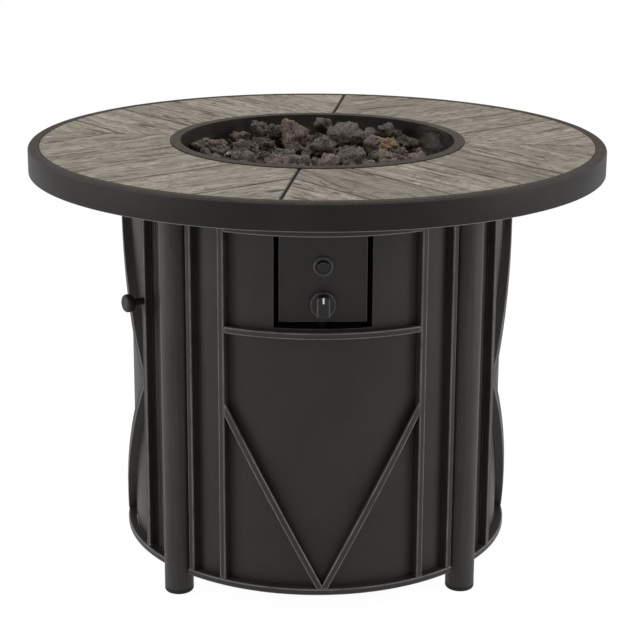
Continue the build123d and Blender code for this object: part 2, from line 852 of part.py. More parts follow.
# Right and back bays: a plain sheet and a diamond each
keep("right_panel", bay_sheet(right_bay, ground_gap, drum_top))
keep("back_panel", bay_sheet(back_bay, ground_gap, drum_top))
fixed_diamonds = []
for bay in (right_bay, back_bay):
    fixed_diamonds.extend(diamond(bay, side_stile_angle, rail_top, head_rail_bottom))
keep("fixed_diamonds", *fixed_diamonds)

# Rails round the foot and head of the drum, and the upright bars of the fixed bays
bays = (0.0, right_bay, back_bay, left_bay)
keep("foot_rails", *[rail(bay, ground_gap) for bay in bays])
keep("head_rails", *[rail(bay, head_rail_bottom) for bay in bays])
upright_angles = [-front_edge_bar_angle, -front_stile_angle, front_stile_angle, front_edge_bar_angle]
for bay in (right_bay, back_bay):
    upright_angles.extend((bay - side_stile_angle, bay + side_stile_angle))
keep("uprights", *[upright(angle, rail_top, head_rail_bottom) for angle in upright_angles])

# Left bay: fixed jambs beside the door
door_front_edge = left_bay + door_half_angle
front_jamb_edges = (door_front_edge + seam_angle, left_bay + bay_angle / 2)
back_jamb_edges = (left_bay - bay_angle / 2, hinge_angle - seam_angle)
jambs = []
for jamb_start, jamb_end in (front_jamb_edges, back_jamb_edges):
    jambs.append(without_legs(sector(panel_r, drum_r, jamb_start, jamb_end, ground_gap, drum_top)))
keep("door_jambs", *jambs)

# Door: sheet, stiles and diamond that swing out together
pull_plane = facing(door_front_stile, bar_r, pull_height)
pull_hole_depth = bar_depth + panel_thickness + overrun
with BuildPart() as door_sheet:
    sheet_edges = (hinge_angle + seam_angle, door_front_edge - seam_angle)
    add(sector(panel_r, drum_r, *sheet_edges, door_bottom, door_top))
    with BuildSketch(pull_plane):
        Circle(pull_screw_diameter / 2 + bolt_clearance)
    extrude(amount=-pull_hole_depth, mode=Mode.SUBTRACT)
keep("door_sheet", door_sheet.part)

with BuildPart() as door_front_bar:
    add(upright(door_front_stile, door_bottom, door_top))
    with BuildSketch(pull_plane.offset(overrun)):
        Circle(pull_screw_diameter / 2 + bolt_clearance)
    extrude(amount=-pull_hole_depth, mode=Mode.SUBTRACT)
keep("door_stiles", door_front_bar.part, upright(door_back_stile, door_bottom, door_top))
keep("door_diamond", *diamond(left_bay, side_stile_angle, door_bottom, door_top))

# Pull: a mushroom head on a stem, held by a screw from inside
with BuildPart() as door_pull:
    with BuildSketch(pull_plane):
        Circle(pull_stem_diameter / 2)
    extrude(amount=pull_stem_length + pull_head_round)
    with BuildSketch(pull_plane.offset(pull_stem_length)):
        Circle(pull_head_diameter / 2)
    extrude(amount=pull_head_length)
    head_edges = door_pull.edges().filter_by(GeomType.CIRCLE).group_by(SortBy.RADIUS)[-1]
    fillet(head_edges, pull_head_round)
    with BuildSketch(pull_plane):
        Circle(pull_screw_diameter / 2 + thread_clearance)
    extrude(amount=pull_screw_depth + thread_clearance, mode=Mode.SUBTRACT)
keep("door_pull", door_pull.part)

with BuildPart() as door_pull_screw:
    head_plane = facing(door_front_stile, panel_r - seat_gap, pull_height)
    with BuildSketch(head_plane):
        Circle(pull_screw_head_diameter / 2)
    extrude(amount=-pull_screw_head_height)
    with BuildSketch(head_plane):
        Circle(pull_screw_diameter / 2)
    extrude(amount=bar_r - panel_r + seat_gap + pull_screw_depth)
keep("door_pull_screw", door_pull_screw.part)

# Two hinges on the door's rear edge: outer knuckles on the jamb, the middle one on the door
hinge_point = polar(drum_r + hinge_stand_off, hinge_angle)
hinge_height = 3 * hinge_knuckle
hinge_bottoms = (door_bottom + hinge_inset, door_top - hinge_inset - hinge_height)
leaf_r = drum_r + hinge_leaf_thickness
jamb_leaf_end = hinge_angle - degrees(hinge_leaf_reach / drum_r)
door_leaf_end = door_back_stile - degrees(asin((bar_width / 2 + hinge_barrel_clearance) / drum_r))


def hinge_half(bottom, leaf_start, leaf_end, own, other, bore_r):
    """One half of a hinge: its leaf on the drum's face and its own knuckles round the pin."""
    with BuildPart() as half:
        add(sector(drum_r, leaf_r, leaf_start, leaf_end, bottom, bottom + hinge_height))
        for knuckle in other:
            with BuildSketch(Plane.XY.offset(bottom + knuckle * hinge_knuckle - hinge_knuckle_gap)):
                with Locations(hinge_point):
                    Circle(hinge_barrel_diameter / 2 + hinge_barrel_clearance)
            extrude(amount=hinge_knuckle + 2 * hinge_knuckle_gap, mode=Mode.SUBTRACT)
        for knuckle in own:
            with BuildSketch(Plane.XY.offset(bottom + knuckle * hinge_knuckle)):
                with Locations(hinge_point):
                    Circle(hinge_barrel_diameter / 2)
            extrude(amount=hinge_knuckle)
        for knuckle in own:
            with BuildSketch(Plane.XY.offset(bottom + knuckle * hinge_knuckle)):
                with Locations(hinge_point):
                    Circle(bore_r)
            extrude(amount=hinge_knuckle, mode=Mode.SUBTRACT)
    return half.part


def trim_knuckle_ends(piece, bottom):
    """The door's knuckle, shortened so that it turns freely between the outer ones."""
    with BuildPart() as trimmed:
        add(piece)
        for low in (bottom + hinge_knuckle, bottom + 2 * hinge_knuckle - hinge_knuckle_gap):
            with BuildSketch(Plane.XY.offset(low)):
                with Locations(hinge_point):
                    Circle(hinge_barrel_diameter / 2 + hinge_barrel_clearance)
            extrude(amount=hinge_knuckle_gap, mode=Mode.SUBTRACT)
    return trimmed.part


jamb_halves = []
door_halves = []
hinge_pins = []
pin_r = hinge_pin_diameter / 2
for bottom in hinge_bottoms:
    jamb_halves.append(hinge_half(bottom, jamb_leaf_end, hinge_angle, (0, 2), (1,), pin_r))
    door_half = hinge_half(bottom, hinge_angle, door_leaf_end, (1,), (0, 2), pin_r + running_clearance)
    door_halves.append(trim_knuckle_ends(door_half, bottom))
    with BuildPart() as hinge_pin:
        with BuildSketch(Plane.XY.offset(bottom)):
            with Locations(hinge_point):
                Circle(pin_r)
        extrude(amount=hinge_height)
        with BuildSketch(Plane.XY.offset(bottom + hinge_height)):
            with Locations(hinge_point):
                Circle(hinge_barrel_diameter / 2)
        extrude(amount=hinge_pin_head)
    hinge_pins.append(hinge_pin.part)
keep("jamb_hinge_leaves", *jamb_halves)
keep("door_hinge_leaves", *door_halves)
keep("hinge_pins", *hinge_pins)

# Magnet catch on the front jamb, and the strike on the door
strike_seat_r = panel_r - seat_gap
strike_r = strike_seat_r - strike_thickness
catch_r = strike_r - catch_gap
strike_start = door_front_edge - seam_angle - degrees(strike_width / panel_r)
catch_low = catch_height - catch_length / 2
catch_high = catch_height + catch_length / 2
strike_low = catch_height - strike_length / 2
strike_high = catch_height + strike_length / 2
catch_hold_start = door_front_edge + seam_angle
catch_hold_end = catch_hold_start + degrees(catch_hold_width / panel_r)
strike_end = door_front_edge - 2 * seam_angle
keep("catch_strike", sector(strike_r, strike_seat_r, strike_start, strike_end, strike_low, strike_high))
with BuildPart() as magnet_catch:
    add(sector(catch_r, panel_r, catch_hold_start, catch_hold_end, catch_low, catch_high))
    add(sector(catch_r - catch_depth, catch_r, strike_start, catch_hold_end, catch_low, catch_high))
keep("magnet_catch", magnet_catch.part)

# Control plate: a folded tray that hangs from the pan behind the opening
igniter_barrel_r = igniter_barrel_diameter / 2
valve_nose_r = valve_nose_diameter / 2
valve_screw_xs = (-valve_screw_spacing / 2, valve_screw_spacing / 2)
with BuildPart() as control_plate:
    with BuildSketch(Plane.XY.offset(plate_bottom)):
        with Locations((0, plate_face)):
            Rectangle(plate_width, plate_fold, align=(Align.CENTER, Align.MIN))
        with Locations((0, plate_back)):
            inner_width = plate_width - 2 * plate_thickness
            Rectangle(inner_width, plate_fold, align=(Align.CENTER, Align.MIN), mode=Mode.SUBTRACT)
    extrude(amount=pan_bottom - plate_bottom)
    with BuildSketch(Plane.XY.offset(plate_bottom)):
        with Locations((0, plate_face)):
            Rectangle(plate_width, plate_fold, align=(Align.CENTER, Align.MIN))
    extrude(amount=plate_thickness)
    with BuildSketch(Plane.XY.offset(pan_bottom)):
        with Locations((0, plate_face)):
            Rectangle(plate_width, plate_hanger_depth, align=(Align.CENTER, Align.MIN))
    extrude(amount=-plate_thickness)
    with BuildSketch(Plane.XY.offset(pan_bottom)):
        with Locations(*plate_screw_places):
            Circle(plate_screw_diameter / 2 + bolt_clearance)
    extrude(amount=-plate_thickness, mode=Mode.SUBTRACT)
    with BuildSketch(front(plate_back, knob_height)):
        Circle(valve_nose_r + bolt_clearance)
        with Locations(*[(x, 0) for x in valve_screw_xs]):
            Circle(valve_screw_diameter / 2 + bolt_clearance)
        with Locations((0, igniter_height - knob_height)):
            Circle(igniter_barrel_r + bolt_clearance)
    extrude(amount=plate_thickness, mode=Mode.SUBTRACT)
keep("control_plate", control_plate.part)

with BuildPart() as plate_screws:
    with BuildSketch(Plane.XY.offset(pan_bottom - plate_thickness - plate_screw_head_height)):
        with Locations(*plate_screw_places):
            Circle(plate_screw_head_diameter / 2)
    extrude(amount=plate_screw_head_height)
    with BuildSketch(Plane.XY.offset(pan_bottom - plate_thickness)):
        with Locations(*plate_screw_places):
            Circle(plate_screw_diameter / 2)
    extrude(amount=plate_thickness + pan_thickness - bolt_spare)
keep("plate_screws", plate_screws.part)

# Gas valve behind the plate, with its nose through the plate and ports at both sides
valve_back = plate_back + valve_long
valve_nose_front = plate_face - valve_nose_length
plunger_front = valve_nose_front + valve_nose_lip + plunger_play
valve_bore_end = plunger_front + plunger_length + stem_tail + push_travel + stem_clearance
port_reach = valve_width / 2 + valve_port_length
with BuildPart() as gas_valve:
    with BuildSketch(front(plate_back, knob_height)):
        RectangleRounded(valve_width, valve_tall, valve_round)
    extrude(amount=-valve_long)
    with BuildSketch(front(plate_back, knob_height)):
        Circle(valve_nose_r)
    extrude(amount=plate_back - valve_nose_front)
    with BuildSketch(facing(quarter, -port_reach, knob_height)):
        with Locations((valve_port_y, 0)):
            Circle(valve_port_diameter / 2)
    extrude(amount=2 * port_reach)
    with BuildSketch(front(valve_nose_front + valve_nose_lip, knob_height)):
        Circle(plunger_diameter / 2 + running_clearance)
    extrude(amount=-(valve_bore_end - valve_nose_front - valve_nose_lip), mode=Mode.SUBTRACT)
    with BuildSketch(front(valve_nose_front, knob_height)):
        Circle(stem_diameter / 2 + stem_clearance)
    extrude(amount=-(valve_nose_lip + plunger_length), mode=Mode.SUBTRACT)
    with BuildSketch(front(plate_back, knob_height)):
        with Locations(*[(x, 0) for x in valve_screw_xs]):
            Circle(valve_screw_diameter / 2 + thread_clearance)
    extrude(amount=-valve_screw_depth, mode=Mode.SUBTRACT)
keep("gas_valve", gas_valve.part)

with BuildPart() as valve_screws:
    with BuildSketch(front(plate_face, knob_height)):
        with Locations(*[(x, 0) for x in valve_screw_xs]):
            Circle(valve_screw_head_diameter / 2)
    extrude(amount=valve_screw_head_height)
    with BuildSketch(front(plate_face, knob_height)):
        with Locations(*[(x, 0) for x in valve_screw_xs]):
            Circle(valve_screw_diameter / 2)
    extrude(amount=-(plate_thickness + valve_screw_depth - thread_clearance))
keep("valve_screws", valve_screws.part)

# Threaded inlet under the valve, where a gas hose screws on
inlet_top = knob_height - valve_tall / 2
with BuildPart() as valve_inlet:
    with BuildSketch(Plane.XY.offset(inlet_top)):
        with Locations(inlet_place):
            RegularPolygon(inlet_hex_width / 2, 6, major_radius=False)
    extrude(amount=-inlet_hex_length)
    with BuildSketch(Plane.XY.offset(inlet_top - inlet_hex_length)):
        with Locations(inlet_place):
            Circle(inlet_thread_diameter / 2)
    extrude(amount=-inlet_thread_length)
    with BuildSketch(Plane.XY.offset(inlet_top)):
        with Locations(inlet_place):
            Circle(inlet_bore_diameter / 2)
    extrude(amount=-(inlet_hex_length + inlet_thread_length), mode=Mode.SUBTRACT)
keep("valve_inlet", valve_inlet.part)

with BuildPart() as valve_plunger:
    with BuildSketch(front(plunger_front, knob_height)):
        Circle(plunger_diameter / 2)
        Circle(stem_diameter / 2 + running_clearance, mode=Mode.SUBTRACT)
    extrude(amount=-plunger_length)
keep("valve_plunger", valve_plunger.part)

# Knob on the valve stem: a hollow skirt and a raised grip with a pale pointer
knob_rear = plate_face - knob_gap
knob_face = knob_rear - knob_skirt_length - knob_grip_length
knob_r = knob_diameter / 2
stem_front = knob_rear - knob_bore + running_clearance
stem_back = plunger_front + plunger_length + stem_tail
stem_plane = front(stem_back, knob_height)
keep("valve_stem", round_bar(stem_plane, stem_diameter / 2, stem_back - stem_front))

pointer_middle = knob_r - knob_round - pointer_inset - pointer_length / 2
with BuildPart() as knob:
    with BuildSketch(front(knob_rear, knob_height)):
        Circle(knob_r)
    extrude(amount=knob_skirt_length)
    with BuildSketch(front(knob_rear - knob_skirt_length, knob_height)):
        Circle(knob_r - knob_round)
        Rectangle(knob_grip_width, knob_diameter, mode=Mode.INTERSECT)
    extrude(amount=knob_grip_length)
    fillet(knob.faces().sort_by(Axis.Y)[0].edges(), knob_round)
    with BuildSketch(front(knob_rear, knob_height)):
        Circle(knob_r - knob_skirt_wall)
    extrude(amount=knob_recess, mode=Mode.SUBTRACT)
    with BuildSketch(front(knob_rear - knob_recess, knob_height)):
        Circle(knob_boss_diameter / 2 + knob_skirt_wall)
        Circle(knob_boss_diameter / 2, mode=Mode.SUBTRACT)
    extrude(amount=knob_cavity - knob_recess, mode=Mode.SUBTRACT)
    with BuildSketch(front(knob_rear, knob_height)):
        Circle(stem_diameter / 2 + running_clearance)
    extrude(amount=knob_bore, mode=Mode.SUBTRACT)
    with BuildSketch(front(knob_face, knob_height)):
        with Locations((0, pointer_middle)):
            Rectangle(pointer_width, pointer_length)
    extrude(amount=-pointer_depth, mode=Mode.SUBTRACT)
keep("knob", knob.part)

with BuildPart() as knob_pointer:
    with BuildSketch(front(knob_face + pointer_depth, knob_height)):
        with Locations((0, pointer_middle)):
            Rectangle(pointer_width, pointer_length)
    extrude(amount=pointer_depth + pointer_proud)
keep("knob_pointer", knob_pointer.part)

# Igniter: a barrel with a bezel, a battery inside and a spring-loaded button
bezel_face = plate_face - igniter_bezel_length
button_bore_r = igniter_button_diameter / 2 + igniter_button_clearance
button_back = bezel_face + igniter_button_skirt
button_bore_end = button_back + igniter_travel + igniter_button_clearance
battery_back = button_bore_end + battery_length
barrel_back = battery_back + igniter_end_wall
with BuildPart() as igniter_body:
    with BuildSketch(front(plate_face, igniter_height)):
        Circle(igniter_bezel_diameter / 2)
    extrude(amount=igniter_bezel_length)
    fillet(igniter_body.faces().sort_by(Axis.Y)[0].edges(), igniter_button_round)
    with BuildSketch(front(plate_face, igniter_height)):
        Circle(igniter_barrel_r)
    extrude(amount=-(barrel_back - plate_face))
    with BuildSketch(front(bezel_face, igniter_height)):
        Circle(button_bore_r)
    extrude(amount=-(button_bore_end - bezel_face), mode=Mode.SUBTRACT)
    with BuildSketch(front(bezel_face, igniter_height)):
        Circle(battery_diameter / 2 + battery_clearance)
    extrude(amount=-(battery_back - bezel_face), mode=Mode.SUBTRACT)
keep("igniter_body", igniter_body.part)
battery_plane = front(battery_back, igniter_height)
keep("igniter_battery", round_bar(battery_plane, battery_diameter / 2, battery_length))

with BuildPart() as igniter_nut:
    with BuildSketch(front(plate_back, igniter_height)):
        RegularPolygon(igniter_nut_width / 2, 6, major_radius=False)
        Circle(igniter_barrel_r + thread_clearance, mode=Mode.SUBTRACT)
    extrude(amount=-igniter_nut_thickness)
keep("igniter_nut", igniter_nut.part)

with BuildPart() as igniter_button:
    with BuildSketch(front(button_back, igniter_height)):
        Circle(igniter_button_diameter / 2)
    extrude(amount=igniter_button_skirt + igniter_button_proud)
    fillet(igniter_button.faces().sort_by(Axis.Y)[0].edges(), igniter_button_round)
keep("igniter_button", igniter_button.part)

# Gas tube from the valve's right port to the mixer
gas_tube_points = (
    (port_reach, valve_port_y, knob_height),
    (gas_tube_side, valve_port_y, knob_height),
    (gas_tube_side, valve_port_y, mixer_axis),
    (0, -mixer_length - gas_tube_last_run, mixer_axis),
    (0, -mixer_length, mixer_axis),
)
gas_tube_bends = [gas_tube_bend, gas_tube_bend, gas_tube_last_bend]
keep("gas_tube", tube_along(gas_tube_points, gas_tube_bends, gas_tube_diameter / 2))

# Thermocouple with its lead from the valve's left port, and the spark lead from the igniter
sensor_bottom = bowl_bottom - electrode_below
thermocouple_lead_level = sensor_bottom - thermocouple_lead_drop
thermocouple_lead_points = (
    (-port_reach, valve_port_y, knob_height),
    (-thermocouple_lead_side, valve_port_y, knob_height),
    (-thermocouple_lead_side, valve_port_y, thermocouple_lead_level),
    (-thermocouple_spacing, pilot_y, thermocouple_lead_level),
    (-thermocouple_spacing, pilot_y, sensor_bottom),
)
with BuildPart() as thermocouple:
    with BuildSketch(Plane.XY.offset(sensor_bottom)):
        with Locations(thermocouple_place):
            Circle(thermocouple_diameter / 2)
    extrude(amount=electrode_below + bowl_wall + thermocouple_above)
    fillet(thermocouple.edges().group_by(Axis.Z)[-1], thermocouple_diameter * thermocouple_round_share)
    add(tube_along(thermocouple_lead_points, [lead_bend] * 3, lead_diameter / 2))
keep("thermocouple", thermocouple.part)
spark_lead_points = (
    (0, barrel_back, igniter_height),
    (0, pilot_y, igniter_height),
    (0, pilot_y, sensor_bottom),
)
keep("spark_lead", tube_along(spark_lead_points, [lead_bend], lead_diameter / 2))
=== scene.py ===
import json
import math
import random

import bmesh
import bpy
from mathutils import Matrix, Vector, noise


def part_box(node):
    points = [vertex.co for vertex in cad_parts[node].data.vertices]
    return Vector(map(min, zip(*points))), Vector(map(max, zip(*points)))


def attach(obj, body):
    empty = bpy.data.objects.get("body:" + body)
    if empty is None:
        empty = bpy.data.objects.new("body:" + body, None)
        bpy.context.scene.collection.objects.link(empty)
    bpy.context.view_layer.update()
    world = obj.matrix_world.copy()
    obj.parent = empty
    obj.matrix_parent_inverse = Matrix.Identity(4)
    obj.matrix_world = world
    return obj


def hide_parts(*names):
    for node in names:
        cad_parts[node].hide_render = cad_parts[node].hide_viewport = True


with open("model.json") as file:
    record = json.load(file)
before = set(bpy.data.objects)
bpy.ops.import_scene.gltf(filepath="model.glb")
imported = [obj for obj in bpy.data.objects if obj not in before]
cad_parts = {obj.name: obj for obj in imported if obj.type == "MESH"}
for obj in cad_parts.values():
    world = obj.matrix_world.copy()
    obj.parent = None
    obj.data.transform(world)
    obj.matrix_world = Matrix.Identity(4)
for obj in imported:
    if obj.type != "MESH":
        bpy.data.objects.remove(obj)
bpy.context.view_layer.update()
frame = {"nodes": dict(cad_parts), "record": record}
record = frame["record"]
slot_of = {part["node"]: part["material_slot"] for part in record["subparts"]}
bodies = record["behaviour"]["bodies"]
body_of = {node: body for body, members in bodies.items() for node in members}


def radii(node):
    """Least and greatest distance of a node's mesh from the table's axis."""
    reach = [math.hypot(v.co.x, v.co.y) for v in frame["nodes"][node].data.vertices]
    return min(reach), max(reach)


# Measures taken from the CAD pieces
slab_bottom, slab_top = (corner.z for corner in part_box("slab_left"))
slab_in, slab_out = radii("slab_left")
bowl_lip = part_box("burner_bowl")[1].z
flange_out = radii("burner_bowl")[1]
fill_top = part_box("rock_fill")[1].z
fill_out = radii("rock_fill")[1]
rim_in, rim_out = radii("top_rim")
rim_foot, rim_top = (corner.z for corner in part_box("top_rim"))
knob_low, knob_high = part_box("knob")
knob_middle, knob_front = (knob_low + knob_high) / 2, knob_low.y
igniter_middle = sum(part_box("igniter_button"), Vector()) / 2

# Camera that sees the table as the photograph does
camera_place = Vector((-0.0824, -2.5562, 1.1592))
camera_tilt = math.radians(76.231)
camera_turn = math.radians(-1.955)
camera_roll = math.radians(0.306)
camera_lens = 91.4
camera_sensor = 36.0
camera_shift = -0.15
camera_reach = 60.0

# Studio: each lamp's place, target, width, height and power, then the surround and the floor
lamps = {
    "overhead": ((0.0, 0.2, 3.2), (0.0, 0.0, 0.5), 2.6, 2.6, 64),
    "left_box": ((-3.0, -0.9, 1.1), (0.0, 0.0, 0.45), 1.2, 2.2, 46),
    "right_box": ((3.0, -0.9, 1.1), (0.0, 0.0, 0.45), 1.2, 2.2, 48),
}
white = (1.0, 1.0, 1.0, 1.0)
surround_seen = 1.0
surround_light = 0.30
floor_half = 14.0
floor_grey = (0.86, 0.86, 0.86, 1.0)
floor_glow = 1.08
floor_glow_share = 0.90

# Planks of the slabs: where their lines lie, in plank widths, and how deep each line is
plank_width = 0.110
plank_slope = math.radians(45)
plank_lines = {
    "front_left": {-1.93: 1.0, -0.71: 1.0, 0.18: 0.35, 1.18: 0.15, 2.16: 0.7},
    "front_right": {-1.93: 0.9, -0.94: 0.8, 0.15: 0.7, 1.05: 1.0, 2.05: 0.3},
    "back_left": {-2.02: 1.0, -0.89: 0.9, 0.14: 0.4, 1.14: 0.5, 2.14: 0.4},
    "back_right": {-2.05: 0.3, -0.96: 0.9, 0.41: 0.7, 1.36: 0.4, 2.30: 0.4},
}
quadrants = ("front_left", "back_left", "front_right", "back_right")
groove_half = 0.0027
groove_depth = 0.0016
groove_floor_share = 0.35

# Joint between the two slabs, and the plan directions across and along it
joint_turn = math.radians(8.3)
joint_gap = 0.0024
joint_line = 0.8
across_joint = Vector((math.cos(joint_turn), -math.sin(joint_turn)))
along_joint = Vector((math.sin(joint_turn), math.cos(joint_turn)))

# Mesh and skin of the slabs. Grain is given per metre along and across, with a step per plank
slab_step = 0.0034
slab_sharp = math.radians(32)
cut_merge = 0.000001
flange_gap = 0.0005
flange_rebate = 0.0010
rebate_step = 0.0001
grain_relief = 0.00025
grain_bias = 1.2
rough_grain = (16, 130, 3.7)
uneven_grain = (5, 14, 5.1)
quadrant_planks = 7
tone_seed = 40
tone_spread = 0.6
left_tone = 0.35
map_row_step = (0.61, 2.9)
map_quadrant_step = 17.3

# Turned rim: rounding of its corners and crown, wall, fold below, and skirt past the slabs
rim_ease = 0.0012
rim_crown = 0.005
rim_wall = 0.003
rim_fold = 0.014
rim_skirt = 0.003
rim_steps = 264
rim_sharp = math.radians(40)
# Share of the painted highlight that the rim's crown gets
crown_highlight_share = 0.6

# Dark rubber strip behind the foot rail of the door's bay, which stands in for the shade in the gap
# under the door
sill_in, sill_out = 0.2955, 0.2997
sill_low, sill_high = 0.0405, 0.0438
sill_half_turn = math.radians(33.2)
sill_steps = 48

# Edges of the CAD pieces that are rounded. The short edges round small holes stay sharp
weld_reach = 0.000002
flat_angle = math.radians(0.6)
sharp_angle = math.radians(38)
ease_steps = 2
hole_edge = 0.0016
turning_edge = 0.0004
bar_ease = 0.0020
sheet_ease = 0.00045

# Edges of the controls that get a painted highlight: from the axis, and for the grip also from the
# knob's front
grip_edge = (0.0072, 0.0088)
grip_depth = (0.0100, 0.0125)
grip_highlight_share = 0.8
skirt_edge = (0.0170, 0.0182)
bezel_edge = (0.0122, 0.0138)

# Where finishes change: down from the rim's lip, up from its foot, down from the bowl's flange,
# up from the bed of rocks and down from the bowl's lip, and round the scuff on the bowl's wall
lip_bloom = (0.003, 0.0008)
# Up from the rim's foot lies a painted highlight line
foot_line = (0.0006, 0.0020)
flange_bloom = (0.0012, 0.0004)
dust_rise, dust_end = 0.006, 0.004
scuff_place = (0.196, 0.092, 0.650)
scuff_reach = (0.012, 0.055)

# Rocks that stand out in the photograph: plan place, half width and tint
rock_tints = {
    "grey": (0.122, 0.104, 0.090, 1.0),
    "dark": (0.078, 0.067, 0.059, 1.0),
    "red": (0.138, 0.103, 0.089, 1.0),
    "plum": (0.132, 0.107, 0.095, 1.0),
    "tan": (0.200, 0.138, 0.088, 1.0),
    "sand": (0.200, 0.160, 0.122, 1.0),
    "pale": (0.400, 0.360, 0.310, 1.0),
}
marked_rocks = (
    (-0.039, 0.112, 0.032, "red"),
    (0.049, 0.098, 0.029, "grey"),
    (0.016, 0.142, 0.018, "grey"),
    (-0.091, 0.140, 0.018, "grey"),
    (-0.068, 0.100, 0.017, "dark"),
    (0.120, 0.134, 0.016, "grey"),
    (-0.126, 0.050, 0.020, "plum"),
    (0.098, 0.022, 0.023, "plum"),
    (0.113, 0.008, 0.014, "tan"),
    (0.144, 0.044, 0.019, "dark"),
    (0.072, 0.055, 0.015, "dark"),
    (0.009, 0.003, 0.021, "grey"),
    (-0.160, 0.039, 0.016, "red"),
    (-0.082, 0.000, 0.017, "dark"),
    (-0.118, -0.051, 0.024, "grey"),
    (-0.047, -0.038, 0.014, "grey"),
    (0.106, -0.062, 0.019, "sand"),
    (0.140, -0.078, 0.019, "plum"),
    (0.160, -0.056, 0.021, "plum"),
    (0.052, -0.078, 0.024, "grey"),
    (-0.166, -0.049, 0.017, "grey"),
    (-0.143, -0.029, 0.006, "pale"),
    (-0.035, -0.112, 0.025, "grey"),
    (0.013, -0.115, 0.020, "plum"),
    (0.072, -0.136, 0.021, "grey"),
)

# The other rocks: how many, their half widths, and the places tried for each
rock_seed = 11
common_tints = ("grey", "grey", "grey", "dark", "dark", "plum", "red")
lump_count, lump_sizes, lump_tries, lump_fineness = 94, (0.013, 0.022), 30, 4
chip_count, chip_sizes, chip_tries, chip_fineness = 90, (0.005, 0.011), 14, 3
size_bias = 1.6
wall_room = 1.05
bare_wall = 0.178

# How rocks lie: shares of their half widths, then the heap's height, its rise behind the middle
# and its falls to the sides and the front
rock_packing = 0.84
rock_bedding = 0.45
rock_headroom = 0.72
heap_height = 0.675
heap_rise, rise_start, rise_length = 0.006, -0.05, 0.15
side_fall, heap_half_width = 0.020, 0.19
front_fall, heap_half_depth = 0.010, 0.2

# How rocks differ: shares of the half width in three directions, tilt, pattern and brightness
rock_girths = ((0.95, 1.15), (0.78, 1.0), (0.66, 0.86))
rock_tilt = 0.5
rock_scatter = 50
rock_glow = (0.92, 1.36)
rock_shape = {"Lumpiness": 0.80, "Facets": 0.50, "Pits": 0.15}


class Wire:
    """The output of a node. Sums and products of wires and numbers add Math nodes."""

    def __init__(self, graph, socket):
        self.graph = graph
        self.socket = socket

    def math(self, operation, *values):
        return self.graph.node("ShaderNodeMath", {"operation": operation}, dict(enumerate(values)))

    def __add__(self, other):
        return self.math("ADD", self, other)

    def __radd__(self, other):
        return self.math("ADD", other, self)

    def __sub__(self, other):
        return self.math("SUBTRACT", self, other)

    def __rsub__(self, other):
        return self.math("SUBTRACT", other, self)

    def __mul__(self, other):
        return self.math("MULTIPLY", self, other)

    def __rmul__(self, other):
        return self.math("MULTIPLY", other, self)

    def __abs__(self):
        return self.math("ABSOLUTE", self)

    def fraction(self):
        return self.math("FRACT", self)

    def most(self, other):
        return self.math("MAXIMUM", self, other)

    def between(self, low, high):
        """0 below low, 1 above high and a smooth step from one to the other."""
        sockets = {"Value": self, "From Min": low, "From Max": high}
        return self.graph.node("ShaderNodeMapRange", {"interpolation_type": "SMOOTHSTEP"}, sockets)


class Graph:
    """A node tree that is written as calls and sums."""

    def __init__(self, tree):
        self.tree = tree

    def feed(self, socket, value):
        if isinstance(value, Wire):
            self.tree.links.new(value.socket, socket)
        else:
            socket.default_value = value

    def node(self, kind, settings=None, sockets=None, output=0):
        """A node of this kind, with its settings first and then its sockets' values or links."""
        made = self.tree.nodes.new(kind)
        for name, value in (settings or {}).items():
            setattr(made, name, value)
        for name, value in (sockets or {}).items():
            self.feed(made.inputs[name], value)
        return Wire(self, made.outputs[output])

    def end(self, kind, wire):
        """The tree's last node, which this wire feeds."""
        self.tree.links.new(wire.socket, self.tree.nodes.new(kind).inputs[0])

    def vector(self, operation, *values):
        settings = {"operation": operation}
        return self.node("ShaderNodeVectorMath", settings, dict(enumerate(values)))

    def noise(self, place, scale, detail=3.0, rough=0.55):
        sockets = {"Vector": place, "Scale": scale, "Detail": detail, "Roughness": rough}
        return self.node("ShaderNodeTexNoise", {}, sockets)

    def cells(self, place, scale, output="Distance"):
        sockets = {"Vector": place, "Scale": scale}
        return self.node("ShaderNodeTexVoronoi", {"feature": "F1"}, sockets, output)


class Finish(Graph):
    """A material on a Principled shader."""

    def __init__(self, name, **constants):
        self.material = bpy.data.materials.new(name)
        self.material.use_nodes = True
        super().__init__(self.material.node_tree)
        self.tree.nodes.clear()
        self.shader = self.tree.nodes.new("ShaderNodeBsdfPrincipled")
        self.end("ShaderNodeOutputMaterial", Wire(self, self.shader.outputs[0]))
        self.set(**constants)
        self.place = self.node("ShaderNodeTexCoord", {}, {}, "Object")

    def set(self, **inputs):
        for key, value in inputs.items():
            self.feed(self.shader.inputs[key.replace("_", " ")], value)
        return self

    def stretched(self, *scale):
        return self.vector("MULTIPLY", self.place, scale)

    def blend(self, share, first, second):
        settings = {"data_type": "RGBA", "blend_type": "MIX"}
        return self.node("ShaderNodeMix", settings, {0: share, 6: first, 7: second}, 2)

    def mark(self, name, output="Fac"):
        """A value that the mesh carries under this name."""
        return self.node("ShaderNodeAttribute", {"attribute_name": name}, {}, output)

    def bump(self, height, depth):
        sockets = {"Height": height, "Distance": depth, "Strength": 1.0}
        return self.node("ShaderNodeBump", {}, sockets)

    def axis(self, vector, name):
        return self.node("ShaderNodeSeparateXYZ", {}, {"Vector": vector}, name)

    def away(self, place, centre):
        """Distance of a place from a fixed centre."""
        settings = {"operation": "DISTANCE"}
        return self.node("ShaderNodeVectorMath", settings, {0: place, 1: centre}, "Value")


def shade(red, green, blue):
    """Linear colour from the 0 to 255 values of a paint chart."""
    levels = [value / 255 for value in (red, green, blue)]
    return (*[v / 12.92 if v <= 0.04045 else ((v + 0.055) / 1.055) ** 2.4 for v in levels], 1.0)


